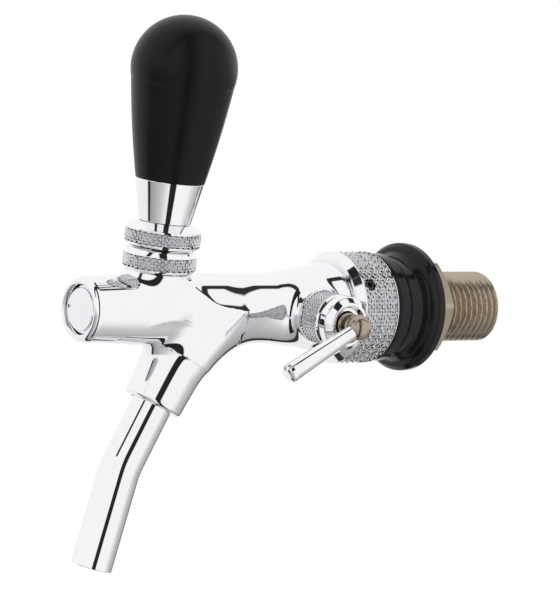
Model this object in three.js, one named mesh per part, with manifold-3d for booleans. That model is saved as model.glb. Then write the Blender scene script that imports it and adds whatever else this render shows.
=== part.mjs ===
// Flow-control beer tap with its threaded shank, flange and nut.
// Millimetres, +Z up. The shank and the barrel lie along Y, the tap faces -Y, and the origin is
// the centre of the flange's rear seating face. Tilting the handle towards -Y opens the tap.

import * as THREE from 'three';
import { mergeVertices } from 'three/addons/utils/BufferGeometryUtils.js';
import Module from 'manifold-3d';

// Clearances
const SEAT_GAP = 0.3; // between pieces that rest on each other
const RUNNING_GAP = 0.4; // round pieces that move

// Facets round a turned piece
const FINE = 36;
const MEDIUM = 28;
const SMALL = 18;

// Barrel
const BARREL_FRONT_Y = -130.5;
const BARREL_REAR_Y = -34;
const BARREL_FRONT_RADIUS = 10.1;
const BARREL_RADIUS = 11.1;
const BARREL_REAR_RADIUS = 14.8;
const BARREL_FLARE_LENGTH = 26; // over which the barrel widens to the coupling
const LIP_RADIUS = 1.6;
const BORE_RADIUS = 7.6;
const CHAMBER_RADIUS = 8.5; // behind the valve seat
const SEAT_FRONT_Y = -78;
const SEAT_REAR_Y = -75;
const SEAT_HOLE_RADIUS = 5;

// Leg and spout
const LEG_ANGLE = 26; // degrees forward of straight down
const LEG_ROOT_Y = -84.2; // where its axis meets the barrel's
const LEG_LENGTH = 33.6;
const LEG_END_RADIUS = 9.4;
const LEG_ROOT_RADIUS = 10.9;
const LEG_SOCKET_DEPTH = 13;
const PASSAGE_RADIUS = 4.2;
const WEB_RADIUS = 12; // concave sweep behind the leg
const WEB_WIDTH = 12;
const SPOUT_RADIUS = 6.5;
const SPOUT_WALL = 1;
const SPOUT_LOWER_ANGLE = 12.5;
const SPOUT_BEND_DROP = 21.5; // from the leg's end to the bend, along the leg
const SPOUT_LOWER_LENGTH = 31.9;
const SPOUT_BEND_LENGTH = 3.2; // on each side of the bend's corner
const SPOUT_RING_SECTION = 1.6;

// Handle and its ball joint
const HANDLE_Y = -102;
const PIVOT_Z = 11.5;
const BALL_RADIUS = 4.6;
const STUD_RADIUS = 2.5;
const ARM_LENGTH = 9.5; // from the pivot down to the tip's centre
const ARM_RADIUS = 1.3;
const TIP_RADIUS = 1.8;
const HANDLE_LEAN = 1.3; // degrees backwards from upright when the tap is shut
const HANDLE_TRAVEL = 22; // degrees
const BOSS_RADIUS = 10;
const BOSS_SHOULDER_Z = 12;
const NECK_RADIUS = 9;
const NECK_HEIGHT = 4.6;
const SOCKET_RADIUS = 7;
const SOCKET_FLOOR_Z = 9.1;
const BONNET_RADIUS = 11.35;
const BONNET_BAND = 5; // straight knurled height
const BONNET_TOP_Z = 19.3;
const LOCKNUT_RADIUS = 11.7;
const LOCKNUT_BAND = 5.3;
const LOCKNUT_GAP = 0.4;
const LOCKNUT_BEVEL = 2;
const FERRULE_HEIGHT = 12.6;
const FERRULE_BOTTOM_RADIUS = 8.06;
const FERRULE_TOP_RADIUS = 10.65;
const SPIGOT_RADIUS = 6;
const SPIGOT_HEIGHT = 12;
const GRIP_HEIGHT = 50.2;
const GRIP_BULB_RADIUS = 16.3;

// Plunger
const PLUNGER_FRONT_Y = -126.5;
const GUIDE_ROD_RADIUS = 2.4;
const PISTON_LENGTH = 11;
const PISTON_FRONT_Y = -107.2;
const PISTON_FLAT_Z = 4.7;
const STEM_ROD_RADIUS = 2;
const PISTON_RING_WIDTH = 1.6;
const PISTON_RING_DEPTH = 1.4;
const VALVE_WASHER_THICKNESS = 2.5;
const VALVE_WASHER_RADIUS = 6.9;
const VALVE_NUT_THICKNESS = 2.6;
const VALVE_NUT_RADIUS = 4.2;
const PLUG_LENGTH = 8.8;
const PLUG_FACE_RADIUS = 6.6;
const PLUG_FACE_DEPTH = 1.2;
const PLUG_SET_BACK = 0.7;
const PLUG_SLOT_WIDTH = 1;

// Flow control
const FLOW_Y = -47.5;
const FLOW_BOSS_RADIUS = 8.4;
const FLOW_BOSS_REACH = 13.7;
const FLOW_NECK_RADIUS = 6.4;
const FLOW_NECK_LENGTH = 6;
const FLOW_RING_RADIUS = 8.4;
const FLOW_RING_LENGTH = 8.7;
const FLOW_CAP_RADIUS = 8.6;
const FLOW_CAP_LENGTH = 5;
const FLOW_CAP_GAP = 1.2;
const FLOW_STEM_RADIUS = 3.7;
const FLOW_BALL_X = 33;
const FLOW_BALL_RADIUS = 4;
const FLOW_STEM_INNER_X = 9;
const FLOW_PIN_RADIUS = 1.2;
const FLOW_PIN_OFFSET = 2;
const FLOW_PIN_INNER_X = 5;
const FLOW_TRAVEL = 60; // degrees each way
const FLOW_LEVER_ANGLE = 28.8; // degrees below straight forward
const FLOW_LEVER_LENGTH = 30;
const FLOW_LEVER_ROOT_RADIUS = 2.3;
const FLOW_LEVER_TIP_RADIUS = 3.1;
const COMPENSATOR_FRONT_Y = -57;
const COMPENSATOR_REAR_Y = -14;
const COMPENSATOR_RADIUS = 6.4;
const COMPENSATOR_GROOVE_RADIUS = 4.3;
const COMPENSATOR_VANE_WIDTH = 2.4;

// Coupling, shank, flange and nut
const COLLAR_RADIUS = 17.9;
const COLLAR_LENGTH = 16;
const COLLAR_CHAMFER = 1.8;
const BODY_END_Y = -24.5;
const GASKET_THICKNESS = 1.5;
const SHANK_RADIUS = 11.45;
const SHANK_HEAD_RADIUS = SHANK_RADIUS + 1.25;
const SPIGOT_THREAD_RADIUS = SHANK_HEAD_RADIUS + SEAT_GAP; // of the body, in the collar
const SHANK_HEAD_LENGTH = 2.4;
const SHANK_END_Y = 32;
const SHANK_BORE_RADIUS = 5;
const SHANK_MOUTH_RADIUS = 8;
const SHANK_MOUTH_LENGTH = 12;
const SHANK_CHAMFER = 0.8;
const SCREW_RADIUS = 1.6;
const SCREW_ANGLE = 55; // degrees from straight up towards +X
const SCREW_Y = -28.5;
const SCREW_SOCKET_RADIUS = 0.9;
const FLANGE_RADIUS = 20.8;
const FLANGE_RIM = 4.6;
const FLANGE_HUB_RADIUS = 17.4;
const NUT_FLATS_RADIUS = 14.35; // half of the width across its flats
const NUT_LENGTH = 7.5;
const NUT_TURN = 10.7; // degrees from +X to the nearest corner

const radians = (degrees) => (degrees * Math.PI) / 180;

// ---------------------------------------------------------------- materials

function material(color, roughness, metalness) {
  return new THREE.MeshStandardMaterial({ color, roughness, metalness });
}

const chrome = material(0xdfe2e6, 0.07, 1);
const nickel = material(0xb09c82, 0.28, 1);
const steel = material(0x9a9da1, 0.3, 1);
const blackGrip = material(0x0b0b0c, 0.42, 0);
const blackGloss = material(0x08080a, 0.14, 0);
const rubber = material(0x1b1b1c, 0.8, 0);
const whiteNylon = material(0xe6e4dc, 0.5, 0);

// ---------------------------------------------------------------- solids

const wasm = await Module();
wasm.setup();

/** A manifold solid from a closed geometry, turned right side out if it isn't. */
function solid(geometry, matrix = new THREE.Matrix4()) {
  const bare = geometry.clone();
  bare.deleteAttribute('normal');
  bare.deleteAttribute('uv');
  const merged = mergeVertices(bare, 1e-4).applyMatrix4(matrix);
  const vertProperties = Float32Array.from(merged.getAttribute('position').array);
  const corners = [];
  const index = merged.getIndex().array;
  for (let i = 0; i < index.length; i += 3) {
    const [a, b, c] = [index[i], index[i + 1], index[i + 2]];
    if (a !== b && b !== c && c !== a) {
      corners.push(a, b, c);
    }
  }
  if (signedVolume(vertProperties, corners) < 0) {
    corners.reverse();
  }
  const triVerts = Uint32Array.from(corners);
  return new wasm.Manifold(new wasm.Mesh({ numProp: 3, vertProperties, triVerts }));
}

/** Six times the volume that the triangles enclose, negative when they face in. */
function signedVolume(positions, corners) {
  const [a, b, c] = [new THREE.Vector3(), new THREE.Vector3(), new THREE.Vector3()];
  let total = 0;
  for (let i = 0; i < corners.length; i += 3) {
    a.fromArray(positions, 3 * corners[i]);
    b.fromArray(positions, 3 * corners[i + 1]);
    c.fromArray(positions, 3 * corners[i + 2]);
    total += a.dot(b.cross(c));
  }
  return total;
}

/** The solid's surface as a three.js geometry. */
function surface(body) {
  const mesh = body.getMesh();
  const geometry = new THREE.BufferGeometry();
  geometry.setAttribute('position', new THREE.BufferAttribute(mesh.vertProperties, 3));
  geometry.setIndex(new THREE.BufferAttribute(mesh.triVerts, 1));
  geometry.computeVertexNormals();
  return geometry;
}

/** A solid of revolution about Y from [radius, y] points that close on the axis or themselves. */
function turned(profile, facets, matrix) {
  const points = profile.map(([radius, y]) => new THREE.Vector2(Math.max(radius, 0), y));
  return solid(new THREE.LatheGeometry(points, facets), matrix);
}

/** A plain cylinder along Y between two heights. */
function rod(radius, from, to, facets, matrix) {
  return turned([[0, from], [radius, from], [radius, to], [0, to]], facets, matrix);
}

/** A box given by its centre and sizes. */
function block(centre, sizes, matrix = new THREE.Matrix4()) {
  const place = new THREE.Matrix4().makeTranslation(...centre);
  return solid(new THREE.BoxGeometry(...sizes), matrix.clone().multiply(place));
}

/** A ball as a solid of revolution about Y. */
function ball(radius, centreY, facets, matrix) {
  return turned(arc(0, centreY, radius, -90, 90, facets / 2), facets, matrix);
}

/** Points on an arc of a [radius, y] profile, angles in degrees from the radius direction. */
function arc(centreRadius, centreY, radius, from, to, steps) {
  const points = [];
  for (let i = 0; i <= steps; i += 1) {
    const angle = radians(from + ((to - from) * i) / steps);
    points.push([centreRadius + radius * Math.cos(angle), centreY + radius * Math.sin(angle)]);
  }
  return points;
}

/** Places what is turned about Y so that its axis is vertical at the handle. */
function upright() {
  const lift = new THREE.Matrix4().makeTranslation(0, HANDLE_Y, 0);
  return lift.multiply(new THREE.Matrix4().makeRotationX(Math.PI / 2));
}

/** The same, leaning with the shut handle about its ball joint. */
function leaning() {
  const pivot = new THREE.Matrix4().makeTranslation(0, HANDLE_Y, PIVOT_Z);
  const lean = new THREE.Matrix4().makeRotationX(-radians(HANDLE_LEAN));
  const drop = new THREE.Matrix4().makeTranslation(0, 0, -PIVOT_Z);
  return pivot.multiply(lean).multiply(drop).multiply(new THREE.Matrix4().makeRotationX(Math.PI / 2));
}

/** Places what is turned about Y so that its axis points along +X at the flow control. */
function sideways() {
  const shift = new THREE.Matrix4().makeTranslation(0, FLOW_Y, 0);
  return shift.multiply(new THREE.Matrix4().makeRotationZ(-Math.PI / 2));
}

/** Places what is turned about Y so that its axis runs down the leg from the barrel's axis. */
function alongLeg() {
  const root = new THREE.Matrix4().makeTranslation(0, LEG_ROOT_Y, 0);
  return root.multiply(new THREE.Matrix4().makeRotationX(radians(-90 - LEG_ANGLE)));
}

const tap = new THREE.Group();

/** Adds a named piece. */
function add(name, body, look) {
  const mesh = new THREE.Mesh(surface(body), look);
  mesh.name = name;
  tap.add(mesh);
}

// ---------------------------------------------------------------- body

/** Radius of the barrel's outside at y. */
function barrelRadius(y) {
  const widening = (y - BARREL_FRONT_Y) / (HANDLE_Y - BARREL_FRONT_Y);
  const front = BARREL_FRONT_RADIUS
    + (BARREL_RADIUS - BARREL_FRONT_RADIUS) * THREE.MathUtils.smoothstep(widening, 0, 1);
  const flare = THREE.MathUtils.clamp(1 - (BARREL_REAR_Y - y) / BARREL_FLARE_LENGTH, 0, 1);
  return front + (BARREL_REAR_RADIUS - BARREL_RADIUS) * flare ** 1.3;
}

function barrelOutside() {
  const profile = [[0, BARREL_FRONT_Y]];
  const lipTop = BARREL_FRONT_RADIUS - LIP_RADIUS;
  profile.push(...arc(lipTop, BARREL_FRONT_Y + LIP_RADIUS, LIP_RADIUS, -90, 0, 4));
  const steps = 11;
  for (let i = 1; i <= steps; i += 1) {
    const from = BARREL_FRONT_Y + LIP_RADIUS;
    const y = from + ((BARREL_REAR_Y - from) * i) / steps;
    profile.push([barrelRadius(y), y]);
  }
  profile.push([SPIGOT_THREAD_RADIUS, BARREL_REAR_Y]);
  profile.push([SPIGOT_THREAD_RADIUS, BODY_END_Y], [0, BODY_END_Y]);
  return turned(profile, FINE);
}

function legOutside() {
  const profile = [
    [0, 0],
    [LEG_ROOT_RADIUS, 0],
    [LEG_ROOT_RADIUS, 0.5 * LEG_LENGTH],
    [0.5 * (LEG_ROOT_RADIUS + LEG_END_RADIUS) - 0.2, 0.72 * LEG_LENGTH],
    [LEG_END_RADIUS, LEG_LENGTH - 0.6],
    [LEG_END_RADIUS - 0.6, LEG_LENGTH],
    [0, LEG_LENGTH],
  ];
  return turned(profile, MEDIUM, alongLeg());
}

/** The concave sweep between the barrel's underside and the leg's rear side. */
function rearWeb() {
  const angle = radians(LEG_ANGLE);
  // The arc touches the line 0.6 inside the barrel's underside and the one 0.6 inside the leg.
  const top = -(BARREL_RADIUS - 0.6);
  const side = LEG_ROOT_RADIUS - 0.6;
  const centreZ = top - WEB_RADIUS;
  const centreY = LEG_ROOT_Y + centreZ * Math.tan(angle) + (side + WEB_RADIUS) / Math.cos(angle);
  const outline = new THREE.Shape();
  outline.moveTo(centreY, top);
  const last = Math.PI - angle;
  outline.absarc(centreY, centreZ, WEB_RADIUS, Math.PI / 2, last, false);
  const footZ = centreZ + WEB_RADIUS * Math.sin(angle);
  outline.lineTo(LEG_ROOT_Y + footZ * Math.tan(angle), footZ);
  outline.lineTo(LEG_ROOT_Y, 0);
  outline.lineTo(centreY, 0);
  const options = { depth: WEB_WIDTH, bevelEnabled: false, curveSegments: 16 };
  const geometry = new THREE.ExtrudeGeometry(outline, options);
  // The outline's x, y and depth become Y, Z and X.
  const turn = new THREE.Matrix4().makeBasis(
    new THREE.Vector3(0, 1, 0),
    new THREE.Vector3(0, 0, 1),
    new THREE.Vector3(1, 0, 0),
  );
  return solid(geometry, turn.premultiply(new THREE.Matrix4().makeTranslation(-WEB_WIDTH / 2, 0, 0)));
}

function tapBody() {
  const boss = turned([
    [0, 0],
    [BOSS_RADIUS, 0],
    [BOSS_RADIUS, BOSS_SHOULDER_Z],
    [NECK_RADIUS, BOSS_SHOULDER_Z],
    [NECK_RADIUS, BOSS_SHOULDER_Z + NECK_HEIGHT],
    [0, BOSS_SHOULDER_Z + NECK_HEIGHT],
  ], MEDIUM, upright());
  const flowBoss = turned([
    [0, 0],
    [FLOW_BOSS_RADIUS, 0],
    [FLOW_BOSS_RADIUS, FLOW_BOSS_REACH],
    [FLOW_NECK_RADIUS, FLOW_BOSS_REACH],
    [FLOW_NECK_RADIUS, FLOW_BOSS_REACH + FLOW_NECK_LENGTH],
    [0, FLOW_BOSS_REACH + FLOW_NECK_LENGTH],
  ], MEDIUM, sideways());
  const outside = barrelOutside().add(legOutside()).add(rearWeb()).add(boss).add(flowBoss);

  const past = 5;
  const bore = rod(BORE_RADIUS, BARREL_FRONT_Y - past, SEAT_FRONT_Y, MEDIUM);
  const seatHole = rod(SEAT_HOLE_RADIUS, SEAT_FRONT_Y - 1, SEAT_REAR_Y + 1, MEDIUM);
  const chamber = rod(CHAMBER_RADIUS, SEAT_REAR_Y, BODY_END_Y + past, MEDIUM);
  const socketTop = BOSS_SHOULDER_Z + NECK_HEIGHT + past;
  const socket = rod(SOCKET_RADIUS, SOCKET_FLOOR_Z, socketTop, MEDIUM, upright());
  const armHole = rod(BALL_RADIUS - 0.4, 0, SOCKET_FLOOR_Z + 1, SMALL, upright());
  const spoutSocketFrom = LEG_LENGTH - LEG_SOCKET_DEPTH;
  const spoutSocket = rod(
    SPOUT_RADIUS + SEAT_GAP, spoutSocketFrom, LEG_LENGTH + past, MEDIUM, alongLeg(),
  );
  const passage = rod(PASSAGE_RADIUS, 2, spoutSocketFrom + 1, SMALL, alongLeg());
  const stemTop = FLOW_BOSS_REACH + FLOW_NECK_LENGTH + past;
  const stemBore = rod(FLOW_STEM_RADIUS + RUNNING_GAP, 2, stemTop, SMALL, sideways());
  return outside.subtract(bore).subtract(seatHole).subtract(chamber).subtract(socket)
    .subtract(armHole).subtract(spoutSocket).subtract(passage).subtract(stemBore);
}

add('faucet_body', tapBody(), chrome);

// ---------------------------------------------------------------- front plug

const plugFront = BARREL_FRONT_Y + PLUG_SET_BACK;

function frontPlug() {
  const radius = BORE_RADIUS - SEAT_GAP;
  const guide = GUIDE_ROD_RADIUS + RUNNING_GAP;
  const guideFloor = PLUNGER_FRONT_Y - 1.8;
  const rear = plugFront + PLUG_LENGTH;
  const plug = turned([
    [0, plugFront],
    [PLUG_FACE_RADIUS - 0.3, plugFront],
    [PLUG_FACE_RADIUS, plugFront + 0.3],
    [PLUG_FACE_RADIUS, plugFront + PLUG_FACE_DEPTH],
    [radius, plugFront + PLUG_FACE_DEPTH],
    [radius, rear],
    [guide, rear],
    [guide, guideFloor],
    [0, guideFloor],
  ], MEDIUM);
  const slot = block([0, plugFront, 0], [4 * radius, 1.8, PLUG_SLOT_WIDTH]);
  return plug.subtract(slot);
}

add('front_plug', frontPlug(), chrome);

// ---------------------------------------------------------------- plunger and valve

const pistonRear = PISTON_FRONT_Y + PISTON_LENGTH;
const pistonRadius = BORE_RADIUS - RUNNING_GAP;
const ringRear = pistonRear - 0.8;
const ringFront = ringRear - PISTON_RING_WIDTH;
const washerFront = SEAT_REAR_Y + SEAT_GAP;
const washerRear = washerFront + VALVE_WASHER_THICKNESS;
const valveNutFront = washerRear + SEAT_GAP;
const valveNutRear = valveNutFront + VALVE_NUT_THICKNESS;

function plunger() {
  const grooveFloor = pistonRadius - PISTON_RING_DEPTH - 0.2;
  const body = turned([
    [0, PLUNGER_FRONT_Y],
    [GUIDE_ROD_RADIUS - 0.4, PLUNGER_FRONT_Y],
    [GUIDE_ROD_RADIUS, PLUNGER_FRONT_Y + 0.4],
    [GUIDE_ROD_RADIUS, PISTON_FRONT_Y],
    [pistonRadius, PISTON_FRONT_Y],
    [pistonRadius, ringFront - 0.2],
    [grooveFloor, ringFront - 0.2],
    [grooveFloor, ringRear + 0.2],
    [pistonRadius, ringRear + 0.2],
    [pistonRadius, pistonRear],
    [STEM_ROD_RADIUS, pistonRear],
    [STEM_ROD_RADIUS, valveNutRear + 1.5],
    [0, valveNutRear + 1.5],
  ], MEDIUM);
  const flatRear = ringFront - 0.8;
  const flatLength = flatRear - PISTON_FRONT_Y + 1;
  const flat = block(
    [0, flatRear - flatLength / 2, PISTON_FLAT_Z + 5],
    [4 * pistonRadius, flatLength, 10],
  );
  const slotWidth = 2 * (TIP_RADIUS + RUNNING_GAP);
  const slotFloor = PIVOT_Z - ARM_LENGTH - TIP_RADIUS - RUNNING_GAP;
  const slotY = HANDLE_Y - ARM_LENGTH * Math.sin(radians(HANDLE_LEAN));
  const slot = block(
    [0, slotY, slotFloor + 5],
    [slotWidth, slotWidth, 10],
  );
  return body.subtract(flat).subtract(slot);
}

function pistonRing() {
  const outer = pistonRadius + 0.15;
  const inner = pistonRadius - PISTON_RING_DEPTH;
  return turned([
    [inner, ringFront],
    [outer - 0.3, ringFront],
    [outer, ringFront + 0.4],
    [outer, ringRear - 0.4],
    [outer - 0.3, ringRear],
    [inner, ringRear],
    [inner, ringFront],
  ], MEDIUM);
}

function ring(inner, outer, from, to, facets, matrix) {
  const profile = [[inner, from], [outer, from], [outer, to], [inner, to], [inner, from]];
  return turned(profile, facets, matrix);
}

add('plunger', plunger(), steel);
add('plunger_ring', pistonRing(), rubber);
const washerHole = STEM_ROD_RADIUS + SEAT_GAP;
const valveWasher = ring(washerHole, VALVE_WASHER_RADIUS, washerFront, washerRear, MEDIUM);
add('valve_washer', valveWasher, rubber);
const valveNut = rod(VALVE_NUT_RADIUS, valveNutFront, valveNutRear, 6)
  .subtract(rod(washerHole, valveNutFront - 1, valveNutRear + 1, SMALL));
add('valve_nut', valveNut, steel);

// ---------------------------------------------------------------- spout

/** The point at a distance along the leg's axis from the barrel's axis. */
function legPoint(distance) {
  const angle = radians(LEG_ANGLE);
  return new THREE.Vector3(
    0,
    LEG_ROOT_Y - distance * Math.sin(angle),
    -distance * Math.cos(angle),
  );
}

function spoutPath(overshoot) {
  const start = legPoint(LEG_LENGTH - LEG_SOCKET_DEPTH + SEAT_GAP - overshoot);
  const corner = legPoint(LEG_LENGTH + SPOUT_BEND_DROP);
  const angle = radians(SPOUT_LOWER_ANGLE);
  const down = new THREE.Vector3(0, -Math.sin(angle), -Math.cos(angle));
  const bendFrom = legPoint(LEG_LENGTH + SPOUT_BEND_DROP - SPOUT_BEND_LENGTH);
  const bendTo = corner.clone().addScaledVector(down, SPOUT_BEND_LENGTH);
  const end = corner.clone().addScaledVector(down, SPOUT_LOWER_LENGTH + overshoot);
  const path = new THREE.CurvePath();
  path.add(new THREE.LineCurve3(start, bendFrom));
  path.add(new THREE.QuadraticBezierCurve3(bendFrom, corner, bendTo));
  path.add(new THREE.LineCurve3(bendTo, end));
  return path;
}

function tubeAlong(path, radius) {
  const section = new THREE.Shape();
  section.absarc(0, 0, radius, 0, 2 * Math.PI, false);
  const options = { extrudePath: path, steps: 9, curveSegments: 10, bevelEnabled: false };
  return solid(new THREE.ExtrudeGeometry(section, options));
}

function spoutTube() {
  const outside = tubeAlong(spoutPath(0), SPOUT_RADIUS);
  const inside = tubeAlong(spoutPath(2), SPOUT_RADIUS - SPOUT_WALL);
  return outside.subtract(inside).subtract(spoutRingSpace(0.15));
}

const spoutRingFrom = LEG_LENGTH - 6;

/** The ring round the spout inside the leg, or the groove that it lies in. */
function spoutRingSpace(clearance) {
  return ring(
    SPOUT_RADIUS - 0.35 - clearance,
    SPOUT_RADIUS + 0.15 + clearance,
    spoutRingFrom - clearance,
    spoutRingFrom + SPOUT_RING_SECTION + clearance,
    MEDIUM,
    alongLeg(),
  );
}

add('spout_tube', spoutTube(), chrome);
add('spout_ring', spoutRingSpace(0), rubber);

// ---------------------------------------------------------------- ball joint and handle

const bonnetRound = Math.hypot(
  BONNET_RADIUS,
  BOSS_SHOULDER_Z + SEAT_GAP + BONNET_BAND - PIVOT_Z,
);
const locknutHollow = bonnetRound + RUNNING_GAP;
const locknutBottom = BONNET_TOP_Z + LOCKNUT_GAP;
const locknutTop = locknutBottom + LOCKNUT_BAND + LOCKNUT_BEVEL;
const ferruleBottom = locknutTop + SEAT_GAP;
const ferruleTop = ferruleBottom + FERRULE_HEIGHT;
const gripBottom = ferruleTop + SEAT_GAP;
const studHole = STUD_RADIUS + SEAT_GAP;
const studTop = ferruleTop - 2;

/** Widest reach of the tilting stud from the handle's axis at a height above the pivot. */
function studReach(height) {
  const tilt = radians(HANDLE_TRAVEL);
  return height * Math.tan(tilt) + STUD_RADIUS / Math.cos(tilt) + RUNNING_GAP;
}

function ballLever() {
  const tipZ = PIVOT_Z - ARM_LENGTH;
  const joint = ball(BALL_RADIUS, PIVOT_Z, SMALL, leaning());
  const arm = rod(ARM_RADIUS, tipZ, PIVOT_Z, SMALL, leaning());
  const tip = ball(TIP_RADIUS, tipZ, 12, leaning());
  const stud = rod(STUD_RADIUS, PIVOT_Z, studTop, SMALL, leaning());
  return joint.add(arm).add(tip).add(stud);
}

function lowerSeat() {
  const floor = SOCKET_FLOOR_Z + 0.2;
  const top = PIVOT_Z - 0.6;
  const outer = SOCKET_RADIUS - SEAT_GAP;
  const blank = ring(BALL_RADIUS - 1.2, outer, floor, top, MEDIUM, upright());
  return blank.subtract(ball(BALL_RADIUS + SEAT_GAP, PIVOT_Z, SMALL, upright()));
}

function upperSeat() {
  const floor = PIVOT_Z + 0.6;
  const top = BOSS_SHOULDER_Z + NECK_HEIGHT;
  const outer = SOCKET_RADIUS - SEAT_GAP;
  const low = 2.5;
  const blank = turned([
    [studReach(low), floor],
    [outer, floor],
    [outer, top],
    [studReach(top - PIVOT_Z), top],
    [studReach(low), PIVOT_Z + low],
    [studReach(low), floor],
  ], MEDIUM, upright());
  return blank.subtract(ball(BALL_RADIUS + SEAT_GAP, PIVOT_Z, SMALL, upright()));
}

function bonnet() {
  const bottom = BOSS_SHOULDER_Z + SEAT_GAP;
  const inner = NECK_RADIUS + SEAT_GAP;
  const ceiling = BOSS_SHOULDER_Z + NECK_HEIGHT + SEAT_GAP;
  const from = THREE.MathUtils.radToDeg(Math.asin((bottom + BONNET_BAND - PIVOT_Z) / bonnetRound));
  const to = THREE.MathUtils.radToDeg(Math.asin((BONNET_TOP_Z - PIVOT_Z) / bonnetRound));
  return turned([
    [inner, bottom],
    [BONNET_RADIUS - 0.5, bottom],
    [BONNET_RADIUS, bottom + 0.5],
    ...arc(0, PIVOT_Z, bonnetRound, from, to, 4),
    [studReach(BONNET_TOP_Z - PIVOT_Z), BONNET_TOP_Z],
    [studReach(ceiling - PIVOT_Z), ceiling],
    [inner, ceiling],
    [inner, bottom],
  ], MEDIUM, upright());
}

function locknut() {
  const shoulder = locknutBottom + LOCKNUT_BAND;
  const from = THREE.MathUtils.radToDeg(Math.asin((locknutBottom - PIVOT_Z) / locknutHollow));
  const hollow = arc(0, PIVOT_Z, locknutHollow, 90, from, 6);
  const roof = PIVOT_Z + locknutHollow;
  return turned([
    [studHole, roof],
    ...hollow.slice(2),
    [LOCKNUT_RADIUS - 0.4, locknutBottom],
    [LOCKNUT_RADIUS, locknutBottom + 0.4],
    [LOCKNUT_RADIUS, shoulder],
    [FERRULE_BOTTOM_RADIUS + 0.3, locknutTop],
    [studHole, locknutTop],
    [studHole, roof],
  ], MEDIUM, leaning());
}

function ferrule() {
  return turned([
    [studHole, ferruleBottom],
    [FERRULE_BOTTOM_RADIUS, ferruleBottom],
    [FERRULE_TOP_RADIUS, ferruleTop],
    [SPIGOT_RADIUS, ferruleTop],
    [SPIGOT_RADIUS, ferruleTop + SPIGOT_HEIGHT],
    [0, ferruleTop + SPIGOT_HEIGHT],
    [0, studTop + SEAT_GAP],
    [studHole, studTop + SEAT_GAP],
    [studHole, ferruleBottom],
  ], MEDIUM, leaning());
}

/** The grip's side is a cone that bellies out a little, and its bulb is a ball. */
function grip() {
  const top = gripBottom + GRIP_HEIGHT;
  const bulbZ = top - GRIP_BULB_RADIUS;
  const shoulder = -14;
  const [joinRadius, joinZ] = arc(0, bulbZ, GRIP_BULB_RADIUS, shoulder, shoulder + 1, 1)[0];
  const side = [];
  const steps = 5;
  for (let i = 0; i < steps; i += 1) {
    const share = i / steps;
    const cone = FERRULE_TOP_RADIUS + (joinRadius - FERRULE_TOP_RADIUS) * share;
    side.push([cone + 0.35 * Math.sin(Math.PI * share), gripBottom + (joinZ - gripBottom) * share]);
  }
  const socket = SPIGOT_RADIUS + SEAT_GAP;
  const socketTop = ferruleTop + SPIGOT_HEIGHT + SEAT_GAP;
  return turned([
    [socket, gripBottom],
    ...side,
    ...arc(0, bulbZ, GRIP_BULB_RADIUS, shoulder, 90, 10),
    [0, socketTop],
    [socket, socketTop],
    [socket, gripBottom],
  ], MEDIUM, leaning());
}

add('ball_lever', ballLever(), steel);
add('ball_seat_lower', lowerSeat(), whiteNylon);
add('ball_seat_upper', upperSeat(), whiteNylon);
add('bonnet_collar', bonnet(), chrome);
add('lock_collar', locknut(), chrome);
add('handle_ferrule', ferrule(), chrome);
add('handle_grip', grip(), blackGrip);

// ---------------------------------------------------------------- flow control

const flowRingFrom = FLOW_BOSS_REACH + SEAT_GAP;
const flowRingTo = flowRingFrom + FLOW_RING_LENGTH;
const flowCapFrom = flowRingTo + FLOW_CAP_GAP;
const flowCapTo = flowCapFrom + FLOW_CAP_LENGTH;
const stemHole = FLOW_STEM_RADIUS + RUNNING_GAP;

function flowRing() {
  const inner = FLOW_NECK_RADIUS + SEAT_GAP;
  const floor = FLOW_BOSS_REACH + FLOW_NECK_LENGTH + SEAT_GAP;
  return turned([
    [inner, flowRingFrom],
    [FLOW_RING_RADIUS - 0.4, flowRingFrom],
    [FLOW_RING_RADIUS, flowRingFrom + 0.4],
    [FLOW_RING_RADIUS, flowRingTo - 0.4],
    [FLOW_RING_RADIUS - 0.4, flowRingTo],
    [stemHole, flowRingTo],
    [stemHole, floor],
    [inner, floor],
    [inner, flowRingFrom],
  ], MEDIUM, sideways());
}

function flowCap() {
  const hub = 6;
  const recess = 5.6;
  return turned([
    [stemHole, flowRingTo + SEAT_GAP],
    [hub, flowRingTo + SEAT_GAP],
    [hub, flowCapFrom],
    [FLOW_CAP_RADIUS - 0.3, flowCapFrom],
    [FLOW_CAP_RADIUS, flowCapFrom + 0.3],
    [FLOW_CAP_RADIUS, flowCapTo - 1.6],
    [FLOW_CAP_RADIUS - 0.7, flowCapTo - 0.4],
    [FLOW_CAP_RADIUS - 1.7, flowCapTo],
    [recess, flowCapTo - 0.3],
    [recess - 0.3, flowCapTo - 2],
    [stemHole, flowCapTo - 2],
    [stemHole, flowRingTo + SEAT_GAP],
  ], MEDIUM, sideways());
}

const stemRingTo = FLOW_BOSS_REACH + 0.5;

/** The ring that seals the flow stem, or the groove that it lies in. */
function stemRingSpace(clearance) {
  return ring(
    FLOW_STEM_RADIUS - 0.9 - clearance,
    FLOW_STEM_RADIUS + 0.15 + clearance,
    stemRingTo - 1.8 - clearance,
    stemRingTo + clearance,
    SMALL,
    sideways(),
  );
}

/** The line of the lever: its axis is turned from +Y to forward and down. */
function alongLever() {
  const seat = new THREE.Matrix4().makeTranslation(FLOW_BALL_X, FLOW_Y, 0);
  return seat.multiply(new THREE.Matrix4().makeRotationX(Math.PI + radians(FLOW_LEVER_ANGLE)));
}

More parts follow.
